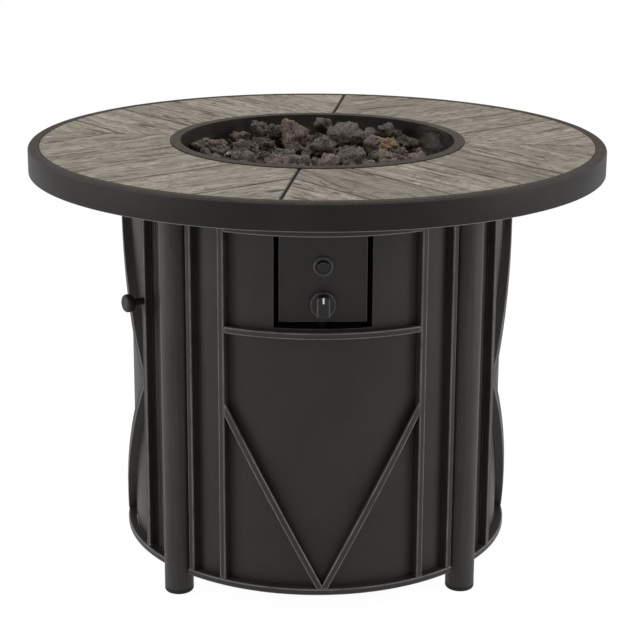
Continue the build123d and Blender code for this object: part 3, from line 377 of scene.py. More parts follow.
def powder_coat(name, dark, light, edge_rub_and_highlight, streak=0.0, lip=None, edge_rub_highlight_share=0.6, shine=0.26):
    """Satin powder coat: cloudy tone, orange peel, and edges painted lighter, as wear and as
    painted highlight.
    """
    coat = Finish(name, Specular_IOR_Level=shine)
    cloud = coat.noise(coat.place, 11.0, 4.0)
    gloss = 0.44 + 0.14 * cloud
    colour = coat.blend(cloud.between(0.34, 0.66), dark, light)
    if streak:
        runs = coat.noise(coat.stretched(170, 170, 3), 1.0, 5.0, 0.62)
        colour = coat.blend(runs.between(0.42, 0.74) * streak, colour, edge_rub_and_highlight)
    # Rounded edges are painted lighter: partly wear, partly painted highlight
    patchy = coat.noise(coat.place, 38.0, 5.0, 0.6).between(0.22, 0.60)
    colour = coat.blend(coat.mark("edge") * (0.35 + 0.65 * patchy) * edge_rub_highlight_share, colour, edge_rub_and_highlight)
    if lip:
        height = coat.axis(coat.place, "Z")
        blotch = coat.noise(coat.place, 160.0, 6.0, 0.7).between(0.35, 0.70)
        on_lip = height.between(*[lip - drop for drop in lip_bloom])
        colour = coat.blend((0.20 + 0.6 * blotch) * on_lip, colour, shade(70, 63, 55))
        gloss = gloss + 0.34 * on_lip
        # A painted highlight line along the rim's foot
        at_foot = 1 - height.between(*[rim_foot + rise for rise in foot_line])
        colour = coat.blend(at_foot * coat.mark("edge") * 0.8, colour, shade(132, 128, 120))
    peel = coat.noise(coat.place, 620.0, 2.0)
    coat.set(Base_Color=colour, Roughness=gloss, Normal=coat.bump(peel, 0.00016))
    return coat.material


def stove_black(name):
    """Heat-proof black of the bowl: dust and a scuff on its wall, brown bloom on its flange, and
    edges lighter by wear and painted highlight.
    """
    black = Finish(name, Specular_IOR_Level=0.10)
    cloud = black.noise(black.place, 17.0, 5.0)
    smear = black.noise(black.stretched(1, 1, 2.4), 26.0, 6.0, 0.7)
    bloom = black.noise(black.place, 130.0, 6.0, 0.7).between(0.34, 0.70)
    grain = black.noise(black.place, 700.0, 2.0)
    height = black.axis(black.place, "Z")
    low_down = 1 - height.between(fill_top + dust_rise, bowl_lip - dust_end)
    dusty = low_down * smear.between(0.42, 0.72)
    near = 1 - black.away(black.place, scuff_place).between(*scuff_reach)
    scuff = near * smear.between(0.36, 0.60)
    on_flange = height.between(*[bowl_lip - drop for drop in flange_bloom])
    colour = black.blend(cloud.between(0.35, 0.65), shade(34, 31, 30), shade(47, 43, 41))
    colour = black.blend(dusty * 0.5, colour, shade(104, 93, 84))
    colour = black.blend(scuff * 0.55, colour, shade(128, 120, 112))
    colour = black.blend(on_flange * (0.35 + 0.5 * bloom), colour, shade(78, 71, 63))
    # Rounded edges painted lighter, partly wear and partly painted highlight
    colour = black.blend(black.mark("edge") * 0.5, colour, shade(112, 106, 98))
    gloss = 0.46 + 0.12 * cloud + 0.25 * dusty + 0.38 * on_flange
    black.set(Base_Color=colour, Roughness=gloss, Normal=black.bump(grain, 0.0002))
    return black.material


def plank_stone(name):
    """Cast stone stained as weathered planks. Grain runs along each plank and round its knots."""
    stone = Finish(name, Specular_IOR_Level=0.12)
    plank_map = stone.node("ShaderNodeUVMap", {"uv_map": "planks"})
    along = stone.axis(plank_map, "X")
    across = stone.axis(plank_map, "Y")

    def spot(x, y, per_metre_along, per_metre_across):
        sockets = {"X": x * per_metre_along, "Y": y * per_metre_across}
        return stone.node("ShaderNodeCombineXYZ", {}, sockets)

    def field(x, y, per_metre_along, per_metre_across, detail=3.0, rough=0.55):
        return stone.noise(spot(x, y, per_metre_along, per_metre_across), 1.0, detail, rough)

    # Knots push the grain aside
    knot_spot = spot(along, across, 4.2, 11.0)
    knot_away = stone.cells(knot_spot, 1.0)
    has_knot = stone.axis(stone.cells(knot_spot, 1.0, "Color"), "X").between(0.62, 0.66)
    swell = (1 - knot_away.between(0.0, 0.5)) * has_knot
    heart = (1 - knot_away.between(0.03, 0.14)) * has_knot
    drift = field(along, across, 5.0, 9.0, 2.0)
    flow = across + 0.020 * swell + 0.016 * drift

    fine = field(along, flow, 16.0, 330.0, 4.0, 0.65)
    band = field(along, flow, 3.2, 48.0, 5.0, 0.62)
    dash = field(along, flow, 8.0, 92.0, 5.0, 0.66)
    wash = field(along, across, 10.0, 20.0, 4.0, 0.6)
    weather = field(along, flow, 20.0, 62.0, 6.0, 0.75)
    speck = field(along, flow, 48.0, 120.0, 4.0, 0.7)
    contour = field(along, flow, 2.6, 30.0, 2.0, 0.5)
    broken = field(along, across, 7.0, 40.0, 3.0)
    pores = stone.noise(stone.place, 900.0, 2.0)
    tone = stone.mark("tone")

    # Year lines, which break off here and there, and short drying cracks
    year = (contour * 6).fraction()
    ring = (1 - abs(year - 0.5).between(0.06, 0.20)) * broken.between(0.50, 0.58)
    check_spot = spot(along, flow, 5.0, 34.0)
    chosen = stone.axis(stone.cells(check_spot, 1.0, "Color"), "Y").between(0.66, 0.68)
    check = (1 - stone.cells(check_spot, 1.0).between(0.05, 0.13)) * chosen

    # Stains from the ground up: where each lies, its strength and its colour
    stains = (
        (dash.between(0.54, 0.62), 0.56, shade(80, 73, 64)),
        (fine.between(0.52, 0.68), 0.45, shade(94, 87, 78)),
        (weather.between(0.55, 0.65), 0.62, shade(178, 171, 159)),
        (speck.between(0.53, 0.62), 0.72, shade(80, 73, 64)),
        (1 - speck.between(0.34, 0.44), 0.38, shade(172, 165, 153)),
        (wash.between(0.46, 0.70), 0.30, shade(98, 91, 82)),
        (ring, 0.85, shade(58, 52, 45)),
        (check, 0.92, shade(42, 37, 32)),
        (heart, 0.65, shade(74, 66, 58)),
        (tone.between(0.5, 1.0), 0.20, shade(168, 161, 149)),
        (1 - tone.between(0.0, 0.5), 0.34, shade(92, 85, 76)),
        (stone.mark("groove"), 1.0, shade(30, 27, 24)),
    )
    colour = stone.blend(band.between(0.30, 0.70), shade(114, 107, 97), shade(149, 142, 131))
    for where, strength, stain in stains:
        colour = stone.blend(where * strength, colour, stain)
    relief = (0.35 * fine + 0.4 * weather - 0.35 * speck - 0.45 * dash + 0.12 * pores
              - 0.7 * ring - 0.6 * heart - check)
    gloss = 0.72 + 0.16 * fine
    stone.set(Base_Color=colour, Roughness=gloss, Normal=stone.bump(relief, 0.0012))
    return stone.material


def lava(name):
    """Porous lava rock in the tint that each stone carries, with its pores painted dark as shade.
    """
    rock = Finish(name, Specular_IOR_Level=0.1, Roughness=0.95)
    cloud = rock.noise(rock.place, 70.0, 5.0, 0.65)
    grit = rock.noise(rock.place, 480.0, 3.0, 0.6)
    shaken = rock.vector("MULTIPLY", rock.noise(rock.place, 120.0), (0.004, 0.004, 0.004))
    warp = rock.vector("ADD", rock.place, shaken)
    pores = 1 - rock.cells(warp, 215.0).between(0.20, 0.40)
    small_pores = 1 - rock.cells(warp, 480.0).between(0.12, 0.36)
    porous = rock.noise(rock.place, 36.0, 2.0).between(0.36, 0.54)
    holes = (pores * porous).most(small_pores * 0.75)
    tint = rock.mark("tint", "Color")
    dark = rock.blend(0.40, tint, shade(30, 26, 24))
    pale = rock.blend(0.45, tint, shade(190, 176, 160))
    colour = rock.blend(cloud.between(0.30, 0.70), dark, tint)
    colour = rock.blend(grit.between(0.50, 0.76) * 0.5, colour, pale)
    # Painted shade: the pores are painted dark
    colour = rock.blend(holes * 0.85, colour, shade(14, 12, 11))
    height = 0.4 * cloud + 0.3 * grit - 0.9 * holes
    return rock.set(Base_Color=colour, Normal=rock.bump(height, 0.0022)).material


def lava_grit(name):
    """Bed of small broken lava under the rocks, with painted shade in the gaps between its grains.
    """
    grit = Finish(name, Specular_IOR_Level=0.15)
    grains = grit.cells(grit.place, 190.0)
    tone = grit.axis(grit.cells(grit.place, 190.0, "Color"), "X")
    cloud = grit.noise(grit.place, 300.0, 4.0)
    colour = grit.blend(tone, shade(34, 29, 27), shade(78, 68, 62))
    # Painted shade: the gaps between the grains are painted dark
    colour = grit.blend(grains.between(0.30, 0.62), colour, shade(12, 10, 9))
    skin = grit.bump(cloud * 0.4 - grains, 0.005)
    return grit.set(Base_Color=colour, Roughness=0.88 + 0.1 * cloud, Normal=skin).material


def bare_metal(name, light, dark, rough, brushed=(60, 60, 900), metal=1.0):
    """Bright metal with fine brush lines and a little tarnish."""
    steel = Finish(name, Metallic=metal)
    lines = steel.noise(steel.stretched(*brushed), 1.0, 3.0)
    stain = steel.noise(steel.place, 46.0, 4.0)
    colour = steel.blend(stain.between(0.40, 0.74), light, dark)
    gloss = rough + 0.16 * lines + 0.10 * stain
    steel.set(Base_Color=colour, Roughness=gloss, Normal=steel.bump(lines, 0.00012))
    return steel.material


def moulding(name, dark, light, rough, grain=900.0, depth=0.0001, highlight_mask=None):
    """Moulded plastic, rubber or ceramic with a fine skin, and a painted highlight where a mask
    asks for it.
    """
    skin = Finish(name, Specular_IOR_Level=0.30)
    cloud = skin.noise(skin.place, 60.0, 4.0)
    fine = skin.noise(skin.place, grain, 2.0)
    colour = skin.blend(cloud.between(0.35, 0.70), dark, light)
    if highlight_mask:
        # Chosen edges are painted lighter as a highlight
        patchy = skin.noise(skin.place, 110.0, 3.0).between(0.20, 0.55)
        colour = skin.blend(highlight_mask(skin) * (0.4 + 0.6 * patchy), colour, shade(98, 96, 93))
    gloss = rough + 0.14 * cloud
    return skin.set(Base_Color=colour, Roughness=gloss, Normal=skin.bump(fine, depth)).material


def ring_painted_highlight(skin, middle, edge):
    """Painted highlight on a turned control of the front, between two radii from its axis."""
    flat = skin.stretched(1, 0, 1)
    return skin.away(flat, (middle.x, 0.0, middle.z)).between(*edge)


def bezel_painted_highlight(skin):
    """Painted highlight on the edge of the igniter's bezel."""
    return ring_painted_highlight(skin, igniter_middle, bezel_edge)


def knob_painted_highlight(skin):
    """Painted highlight on the skirt's edge and along both edges of the knob's grip."""
    side = abs(skin.axis(skin.place, "X") - knob_middle.x).between(*grip_edge)
    front, back = (knob_front + depth for depth in grip_depth)
    in_front = 1 - skin.axis(skin.place, "Y").between(front, back)
    return (side * in_front * grip_highlight_share).most(ring_painted_highlight(skin, knob_middle, skirt_edge))


def as_mesh(shape, name, sharp=None):
    """A plain mesh of a finished shape. Edges that turn by more than an angle stay sharp."""
    mesh = bpy.data.meshes.new(name)
    shape.to_mesh(mesh)
    shape.free()
    if sharp:
        mesh.set_sharp_from_angle(angle=sharp)
    return mesh


def dressed(name, mesh, body, slot, material, *replaced):
    """A finished piece at the origin that rides on a body and stands for CAD nodes."""
    piece = bpy.data.objects.new(name, mesh)
    bpy.context.scene.collection.objects.link(piece)
    mesh.materials.clear()
    mesh.materials.append(material)
    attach(piece, body)
    if replaced:
        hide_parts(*replaced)
    return piece


def eased(node, width, material, shortest):
    """A copy of a CAD node with its sharp edges rounded, and marked so that the paint is lighter
    there, as wear and as painted highlight.
    """
    mesh = frame["nodes"][node].data.copy()
    mesh.name = node + "_eased"
    if "custom_normal" in mesh.attributes:
        mesh.attributes.remove(mesh.attributes["custom_normal"])
    shape = bmesh.new()
    shape.from_mesh(mesh)
    bmesh.ops.remove_doubles(shape, verts=shape.verts, dist=weld_reach)
    bmesh.ops.dissolve_limit(shape, angle_limit=flat_angle, verts=shape.verts, edges=shape.edges)
    mark = shape.faces.layers.float.new("edge")
    sharp = []
    for edge in shape.edges:
        if edge.calc_length() > shortest and len(edge.link_faces) == 2:
            if edge.calc_face_angle(0.0) > sharp_angle:
                sharp.append(edge)
    ring = bmesh.ops.bevel(shape, geom=sharp, offset=width, offset_type="OFFSET", profile=0.5,
                           segments=ease_steps, affect="EDGES", clamp_overlap=True)
    for face in ring["faces"]:
        face[mark] = 1.0
    for face in shape.faces:
        face.smooth = True
    shape.to_mesh(mesh)
    shape.free()
    piece = dressed(node + "_eased", mesh, body_of[node], slot_of[node], material, node)
    weigh_normals(piece)


def weigh_normals(piece):
    """Normals that keep broad faces flat beside their rounded edges."""
    modifier = piece.modifiers.new("normals", "WEIGHTED_NORMAL")
    modifier.keep_sharp = True
    make_plain(piece)


def make_plain(piece):
    """The piece's evaluated shape as a plain mesh, without its modifiers."""
    graph = bpy.context.evaluated_depsgraph_get()
    mesh = bpy.data.meshes.new_from_object(piece.evaluated_get(graph), depsgraph=graph)
    piece.modifiers.clear()
    piece.data = mesh


def plan_place(point):
    """Distances of a point across and along the joint between the slabs."""
    return point.to_2d().dot(across_joint), point.to_2d().dot(along_joint)


def quadrant_of(point):
    """Name of the quadrant that a point lies in."""
    x, y = plan_place(point)
    return quadrants[(2 if x > 0 else 0) + (1 if y > 0 else 0)]


def slope_in(quadrant):
    """Turn of a quadrant's planks from the direction across the joint."""
    side = 1 if "right" in quadrant else -1
    depth = 1 if "back" in quadrant else -1
    return plank_slope * side * depth


def plank_place(point, quadrant):
    """Distances along and across the planks of a quadrant, also for points on its border."""
    slope = slope_in(quadrant)
    x, y = plan_place(point)
    along = x * math.cos(slope) + y * math.sin(slope)
    return along, -x * math.sin(slope) + y * math.cos(slope)


def plank_row(across, quadrant):
    """Number of a quadrant's lines that lie before a place across its planks."""
    return sum(share * plank_width < across for share in plank_lines[quadrant])


def line_depth(point, quadrant, across):
    """How far the moulded lines sink the slab at a point, from 0 to 1."""
    x, y = plan_place(point)
    lines = [(abs(across - share * plank_width), weight)
             for share, weight in plank_lines[quadrant].items()]
    lines.append((abs(y), joint_line))
    lines.append((max(0.0, abs(x) - joint_gap / 2), joint_line))
    depth = 0.0
    for away, weight in lines:
        fall = (groove_half - away) / (groove_half * (1 - groove_floor_share))
        depth = max(depth, weight * min(1.0, max(0.0, fall)))
    return depth


def cut(shape, parts, place, normal, **options):
    """Cut parts of a shape along an upright plane, given by a plan place and direction."""
    bmesh.ops.bisect_plane(shape, geom=parts, plane_co=place.to_3d(), plane_no=normal.to_3d(),
                           **options)


def all_parts(shape):
    return shape.verts[:] + shape.edges[:] + shape.faces[:]


def cut_lines(shape, side):
    """Cut the slab's top along both flanks and the floor of every moulded line."""
    flanks = [share * groove_half for share in (-1, -groove_floor_share, groove_floor_share, 1)]
    for flank in flanks:
        cut(shape, all_parts(shape), along_joint * flank, along_joint, dist=cut_merge)
    for flank in flanks[2:]:
        place = side * across_joint * (joint_gap / 2 + flank)
        cut(shape, all_parts(shape), place, across_joint, dist=cut_merge)
    for depth, quadrant in zip((-1, 1), quadrants[side + 1:side + 3]):
        slope = slope_in(quadrant)
        normal = -math.sin(slope) * across_joint + math.cos(slope) * along_joint
        for share in plank_lines[quadrant]:
            for flank in flanks:
                here = [face for face in shape.faces
                        if face.calc_center_median().to_2d().dot(along_joint) * depth > 0]
                around = [part for face in here for part in (*face.edges, *face.verts)]
                parts = list(dict.fromkeys(here + around))
                place = normal * (share * plank_width + flank)
                cut(shape, parts, place, normal, dist=cut_merge)


def slab_blank(side):
    """Flat half ring in a fine net, cut off at the joint."""
    shape = bmesh.new()
    rebate = flange_out + flange_gap
    rows = [slab_in, rebate - rebate_step]
    steps = round((slab_out - rebate) / slab_step)
    rows += [rebate + (slab_out - rebate) * step / steps for step in range(steps + 1)]
    columns = round(math.pi * (slab_in + slab_out) / 2 / slab_step)
    turns = [math.pi * (column / columns - 0.5) for column in range(columns + 1)]
    net = []
    for radius in rows:
        places = [side * across_joint * radius * math.cos(turn)
                  + along_joint * radius * math.sin(turn) for turn in turns]
        net.append([shape.verts.new(place.to_3d()) for place in places])
    for inner, outer in zip(net, net[1:]):
        for column in range(columns):
            after = column + 1
            shape.faces.new((inner[column], outer[column], outer[after], inner[after]))
    out = side * across_joint
    cut(shape, all_parts(shape), out * joint_gap / 2, out, clear_inner=True)
    return shape


def slab(name, node, side, material):
    """Half ring of cast planks: moulded lines, uneven tops and a rebate for the bowl's flange."""
    shape = slab_blank(side)
    cut_lines(shape, side)
    groove = shape.verts.layers.float.new("groove")
    tone = shape.verts.layers.float.new("tone")
    rebate = flange_out + flange_gap - rebate_step / 2
    for vert in shape.verts:
        quadrant = quadrant_of(vert.co)
        along, across = plank_place(vert.co, quadrant)
        sunk = line_depth(vert.co, quadrant, across)
        plank = plank_row(across, quadrant) + quadrant_planks * quadrants.index(quadrant)
        chance = random.Random(plank + tone_seed).random()
        rough, uneven = (noise.noise(Vector((along * a, across * b, plank * c)))
                         for a, b, c in (rough_grain, uneven_grain))
        drop = groove_depth * sunk + grain_relief * (grain_bias - rough - uneven) * (1 - sunk)
        at_rebate = math.hypot(vert.co.x, vert.co.y) < rebate
        vert[groove] = sunk
        vert[tone] = tone_spread * chance + (left_tone if side < 0 else 0.0)
        vert.co.z = slab_top - (flange_rebate if at_rebate else drop)
    border = [edge for edge in shape.edges if edge.is_boundary]
    walls = bmesh.ops.extrude_edge_only(shape, edges=border)["geom"]
    for part in walls:
        if isinstance(part, bmesh.types.BMVert):
            part.co.z = slab_bottom
            part[groove] = 0.0
    bmesh.ops.contextual_create(shape, geom=[e for e in shape.edges if e.is_boundary])
    bmesh.ops.recalc_face_normals(shape, faces=shape.faces)
    plank_map = shape.loops.layers.uv.new("planks")
    for face in shape.faces:
        middle = face.calc_center_median()
        quadrant = quadrant_of(middle)
        row = plank_row(plank_place(middle, quadrant)[1], quadrant)
        shift = map_row_step[1] * row + map_quadrant_step * quadrants.index(quadrant)
        for corner in face.loops:
            along, across = plank_place(corner.vert.co, quadrant)
            corner[plank_map].uv = (along + map_row_step[0] * row, across + shift)
    mesh = as_mesh(shape, name, slab_sharp)
    dressed(name, mesh, body_of[node], slot_of[node], material, node)


def bend(middle, radius, start, end, steps):
    """Points of a rounded corner in a turned profile, from one angle to another."""
    turns = [math.radians(start + (end - start) * step / steps) for step in range(steps + 1)]
    x, y = middle
    return [(x + radius * math.cos(turn), y + radius * math.sin(turn)) for turn in turns]


def turned_rings(shape, profile, turns):
    """The points of a profile at each turn round the table's axis."""
    rings = []
    for turn in turns:
        places = [(r * math.cos(turn), r * math.sin(turn), z) for r, z in profile]
        rings.append([shape.verts.new(place) for place in places])
    return rings


def turned_rim(name, material):
    """The rim turned smoothly: outer wall, round crown, lip and skirt at the slabs, fold below."""
    lip_ease = rim_ease / 2
    foot_bend = bend((rim_out - rim_ease, rim_foot + rim_ease), rim_ease, -90, 0, 4)
    crown_bend = bend((rim_out - rim_crown, rim_top - rim_crown), rim_crown, 0, 90, 8)
    lip_bend = bend((rim_in + lip_ease, rim_top - lip_ease), lip_ease, 90, 180, 3)
    inside = [
        (rim_in, slab_bottom - rim_skirt),
        (rim_in + rim_wall, slab_bottom - rim_skirt),
        (rim_in + rim_wall, rim_top - rim_wall),
        (rim_out - rim_wall, rim_top - rim_wall),
        (rim_out - rim_wall, rim_foot + rim_wall),
        (rim_out - rim_fold, rim_foot + rim_wall),
        (rim_out - rim_fold, rim_foot),
    ]
    profile = foot_bend + crown_bend + lip_bend + inside

    # Painted highlight, with some wear, on the bend of the foot and on the middle of the crown
    crown_start = len(foot_bend) + 2
    crown_end = len(foot_bend) + len(crown_bend) - 3
    shape = bmesh.new()
    mark = shape.faces.layers.float.new("edge")
    turns = [2 * math.pi * step / rim_steps for step in range(rim_steps)]
    rings = turned_rings(shape, profile, turns)
    for ring, following in zip(rings, rings[1:] + rings[:1]):
        for corner in range(len(profile)):
            after = (corner + 1) % len(profile)
            around = (ring[corner], following[corner], following[after], ring[after])
            face = shape.faces.new(around)
            face.smooth = True
            in_foot = corner < len(foot_bend) - 1
            in_crown = crown_start <= corner < crown_end
            face[mark] = 1.0 if in_foot else crown_highlight_share if in_crown else 0.0
    bmesh.ops.recalc_face_normals(shape, faces=shape.faces)
    mesh = as_mesh(shape, name, rim_sharp)
    dressed(name, mesh, body_of["top_rim"], slot_of["top_rim"], material, "top_rim")


def gap_shade_strip(name, material):
    """Dark strip behind the foot rail of the door's bay, which closes the gap under the door as
    painted shade.
    """
    shape = bmesh.new()
    corners = ((sill_in, sill_low), (sill_out, sill_low),
               (sill_out, sill_high), (sill_in, sill_high))
    turns = [math.pi + sill_half_turn * (2 * step / sill_steps - 1)
             for step in range(sill_steps + 1)]
    rings = turned_rings(shape, corners, turns)
    for ring, following in zip(rings, rings[1:]):
        for corner in range(len(corners)):
            after = (corner + 1) % len(corners)
            shape.faces.new((ring[corner], ring[after], following[after], following[corner]))
    shape.faces.new(rings[0])
    shape.faces.new(rings[-1])
    bmesh.ops.recalc_face_normals(shape, faces=shape.faces)
    mesh = as_mesh(shape, name)
    dressed(name, mesh, body_of["base_plate"], slot_of["foot_caps"], material)


def ceiling(x, y):
    """Height that the tops of the rocks may reach: highest behind the middle, low at the sides."""
    behind = heap_height + heap_rise * min(1.0, max(0.0, (y - rise_start) / rise_length))
    beside = side_fall * (abs(x) / heap_half_width) ** 2
    return behind - beside - front_fall * max(0.0, -y) / heap_half_depth


def rest_height(x, y, radius, settled):
    """Height at which a rock comes to rest on the bed and on the rocks below it."""
    height = fill_top + radius * rock_bedding
    for other_x, other_y, other_z, other_radius in settled:
        touch = (radius + other_radius) * rock_packing
        away = math.hypot(x - other_x, y - other_y)
        if away < touch:
            height = max(height, other_z + math.sqrt(touch**2 - away**2))
    return height


def settle_rocks():
    """Lumps and chips by place, half width and tint: lower layer, marked rocks, then chips."""
    chance = random.Random(rock_seed)
    settled, lumps, chips = [], [], []

    def lay(x, y, radius, tint, pile):
        top = ceiling(x, y) - radius * rock_headroom
        height = min(rest_height(x, y, radius, settled), top)
        settled.append((x, y, height, radius))
        pile.append((Vector((x, y, height)), radius, rock_tints[tint]))

    def strew(count, sizes, tries, pile):
        small, large = sizes
        for _ in range(count):
            radius = small + (large - small) * chance.random() ** size_bias
            best = None
            for _ in range(tries):
                reach = (fill_out - radius * wall_room) * math.sqrt(chance.random())
                turn = chance.uniform(0, 2 * math.pi)
                spot = (reach * math.cos(turn), reach * math.sin(turn))
                if spot[0] + radius > bare_wall:
                    continue
                height = rest_height(*spot, radius, settled)
                if best is None or height < best[0]:
                    best = (height, spot)
            lay(*best[1], radius, chance.choice(common_tints), pile)

    strew(lump_count - len(marked_rocks), lump_sizes, lump_tries, lumps)
    for rock in marked_rocks:
        lay(*rock, lumps)
    strew(chip_count, chip_sizes, chip_tries, chips)
    return lumps, chips


def lump_tree():
    """Node tree that turns seed points into broken stones, each with its own lumps and pits."""
    tree = bpy.data.node_groups.new("broken_stones", "GeometryNodeTree")
    tree.is_modifier = True
    kinds = {"Seeds": "Geometry", "Fineness": "Int", "Lumpiness": "Float", "Facets": "Float",
             "Pits": "Float", "Stone": "Material"}
    sockets = {}
    for label, kind in kinds.items():
        kind = "NodeSocket" + kind
        socket = tree.interface.new_socket(label, in_out="INPUT", socket_type=kind)
        sockets[label] = socket.identifier
    tree.interface.new_socket("Stones", in_out="OUTPUT", socket_type="NodeSocketGeometry")
    graph = Graph(tree)
    given = tree.nodes.new("NodeGroupInput")
    wire = {label: Wire(graph, given.outputs[label]) for label in sockets}

    def carried(name, kind="FLOAT_VECTOR"):
        settings = {"data_type": kind}
        return graph.node("GeometryNodeInputNamedAttribute", settings, {"Name": name})

    def changed(kind, stones, settings=None, **inputs):
        inputs = {key.replace("_", " "): value for key, value in inputs.items()}
        return graph.node(kind, settings, {"Geometry": stones, **inputs})

    ball = graph.node("GeometryNodeMeshIcoSphere", {},
                      {"Radius": 1.0, "Subdivisions": wire["Fineness"]})
    here = graph.node("GeometryNodeInputPosition")
    settings = {"data_type": "FLOAT_VECTOR", "domain": "POINT"}
    ball = changed("GeometryNodeStoreNamedAttribute", ball, settings, Name="unit", Value=here)
    stones = graph.node("GeometryNodeInstanceOnPoints", {}, {
        "Points": wire["Seeds"], "Instance": ball,
        "Rotation": carried("turn"), "Scale": carried("girth")})
    stones = changed("GeometryNodeRealizeInstances", stones)
    place = graph.vector("ADD", carried("unit"), carried("chance"))
    lumps = (graph.noise(place, 1.15, 2.0) - 0.5) * wire["Lumpiness"]
    facets = (0.45 - graph.cells(place, 1.35)) * wire["Facets"]
    small = (graph.noise(place, 4.6, 4.0, 0.65) - 0.5) * wire["Pits"]
    pits = (1 - graph.cells(place, 5.2).between(0.10, 0.42)) * wire["Pits"] * 0.35
    swell = (lumps + facets + small - pits) * carried("heft", "FLOAT")
    normal = graph.node("GeometryNodeInputNormal")
    offset = graph.node("ShaderNodeVectorMath", {"operation": "SCALE"},
                        {0: normal, "Scale": swell})
    stones = changed("GeometryNodeSetPosition", stones, Offset=offset)
    stones = changed("GeometryNodeSetShadeSmooth", stones)
    stones = changed("GeometryNodeSetMaterial", stones, Material=wire["Stone"])
    graph.end("NodeGroupOutput", stones)
    return tree, sockets


def stones(name, seeds, fineness, material, tree, sockets, replaced=()):
    """One pile of stones on its seed points, made plain."""
    chance = random.Random(name)
    mesh = bpy.data.meshes.new(name)
    mesh.from_pydata([place for place, radius, tint in seeds], [], [])
    kinds = {"turn": "FLOAT_VECTOR", "girth": "FLOAT_VECTOR", "chance": "FLOAT_VECTOR",
             "heft": "FLOAT", "tint": "FLOAT_COLOR"}
    for label, kind in kinds.items():
        mesh.attributes.new(label, kind, "POINT")
    layers = {label: mesh.attributes[label].data for label in kinds}
    for index, (place, radius, tint) in enumerate(seeds):
        tilts = [chance.uniform(-rock_tilt, rock_tilt) for _ in range(2)]
        layers["turn"][index].vector = (*tilts, chance.uniform(0, 2 * math.pi))
        layers["girth"][index].vector = [radius * chance.uniform(*span) for span in rock_girths]
        shift = [chance.uniform(-rock_scatter, rock_scatter) for _ in range(3)]
        layers["chance"][index].vector = shift
        layers["heft"][index].value = radius
        glow = chance.uniform(*rock_glow)
        layers["tint"][index].color = (*[level * glow for level in tint[:3]], 1.0)
    pile = bpy.data.objects.new(name, mesh)
    bpy.context.scene.collection.objects.link(pile)
    modifier = pile.modifiers.new("stones", "NODES")
    modifier.node_group = tree
    for label, value in {"Fineness": fineness, "Stone": material, **rock_shape}.items():
        modifier[sockets[label]] = value
    make_plain(pile)
    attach(pile, body_of["lava_rocks"])
    if replaced:
        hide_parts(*replaced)


def seen_directly(graph):
    """1 for rays that come from the camera, a mirror or glass."""
    path = graph.tree.nodes.new("ShaderNodeLightPath")
    camera, glossy, through = (Wire(graph, path.outputs[f"Is {kind} Ray"])
                               for kind in ("Camera", "Glossy", "Transmission"))
    return camera.most(glossy).most(through)


def emptied(owner):
    """The cleared node tree of a world or a material."""
    owner.use_nodes = True
    owner.node_tree.nodes.clear()
    return Graph(owner.node_tree)


def surround():
    """White all round, which lights the table only dimly."""
    world = bpy.data.worlds.new("studio")
    bpy.context.scene.world = world
    sky = emptied(world)
    seen = seen_directly(sky)
    bright, dim = (sky.node("ShaderNodeBackground", {}, {"Color": white, "Strength": strength})
                   for strength in (surround_seen, surround_light))
    mixed = sky.node("ShaderNodeMixShader", {}, {0: seen, 1: dim, 2: bright})
    sky.end("ShaderNodeOutputWorld", mixed)


def floor():
    """Pale floor that keeps a soft shadow."""
    mesh = bpy.data.meshes.new("floor")
    corners = [(x * floor_half, y * floor_half, 0) for x, y in ((-1, -1), (1, -1), (1, 1), (-1, 1))]
    mesh.from_pydata(corners, [], [(0, 1, 2, 3)])
    ground = bpy.data.objects.new("floor", mesh)
    bpy.context.scene.collection.objects.link(ground)
    paper = bpy.data.materials.new("floor_paper")
    sheet = emptied(paper)
    matt = sheet.node("ShaderNodeBsdfDiffuse", {}, {"Color": floor_grey})
    glow = sheet.node("ShaderNodeEmission", {}, {"Color": white, "Strength": floor_glow})
    share = seen_directly(sheet) * floor_glow_share
    lit = sheet.node("ShaderNodeMixShader", {}, {0: share, 1: matt, 2: glow})
    sheet.end("ShaderNodeOutputMaterial", lit)
    mesh.materials.append(paper)


def lamp(name, place, target, width, height, power):
    """Large soft lamp that faces a target."""
    light = bpy.data.lights.new(name, "AREA")
    light.shape = "RECTANGLE"
    light.size, light.size_y = width, height
    light.energy = power
    holder = bpy.data.objects.new(name, light)
    bpy.context.scene.collection.objects.link(holder)
    holder.location = place
    aim = Vector(target) - Vector(place)
    holder.rotation_euler = aim.to_track_quat("-Z", "Y").to_euler()


def camera():
    """The camera, turned, tilted and rolled as the values above say."""
    lens = bpy.data.cameras.new("camera")
    lens.lens = camera_lens
    lens.sensor_width = camera_sensor
    lens.shift_y = camera_shift
    lens.clip_end = camera_reach
    holder = bpy.data.objects.new("camera", lens)
    bpy.context.scene.collection.objects.link(holder)
    holder.location = camera_place
    turned = Matrix.Rotation(camera_turn, 3, "Z") @ Matrix.Rotation(camera_tilt, 3, "X")
    holder.rotation_euler = (turned @ Matrix.Rotation(camera_roll, 3, "Z")).to_euler()
    bpy.context.scene.camera = holder


# Charcoal paint, with variants for the pieces where light and wear differ
charcoal = (shade(35, 33, 31), shade(43, 40, 38))
# Colours for lighter edges, which stand for wear and painted highlight
edge_rub_and_highlight = shade(98, 95, 91)
bright_rub_and_highlight = shade(128, 124, 118)
paint = powder_coat("charcoal_paint", *charcoal, edge_rub_and_highlight)
leg_paint = powder_coat("charcoal_paint_legs", shade(44, 42, 40), shade(53, 50, 48), edge_rub_and_highlight,
                        streak=0.18)
rim_paint = powder_coat("charcoal_paint_rim", shade(31, 29, 28), shade(38, 36, 34),
                        shade(84, 80, 75), lip=rim_top, edge_rub_highlight_share=0.45, shine=0.14)
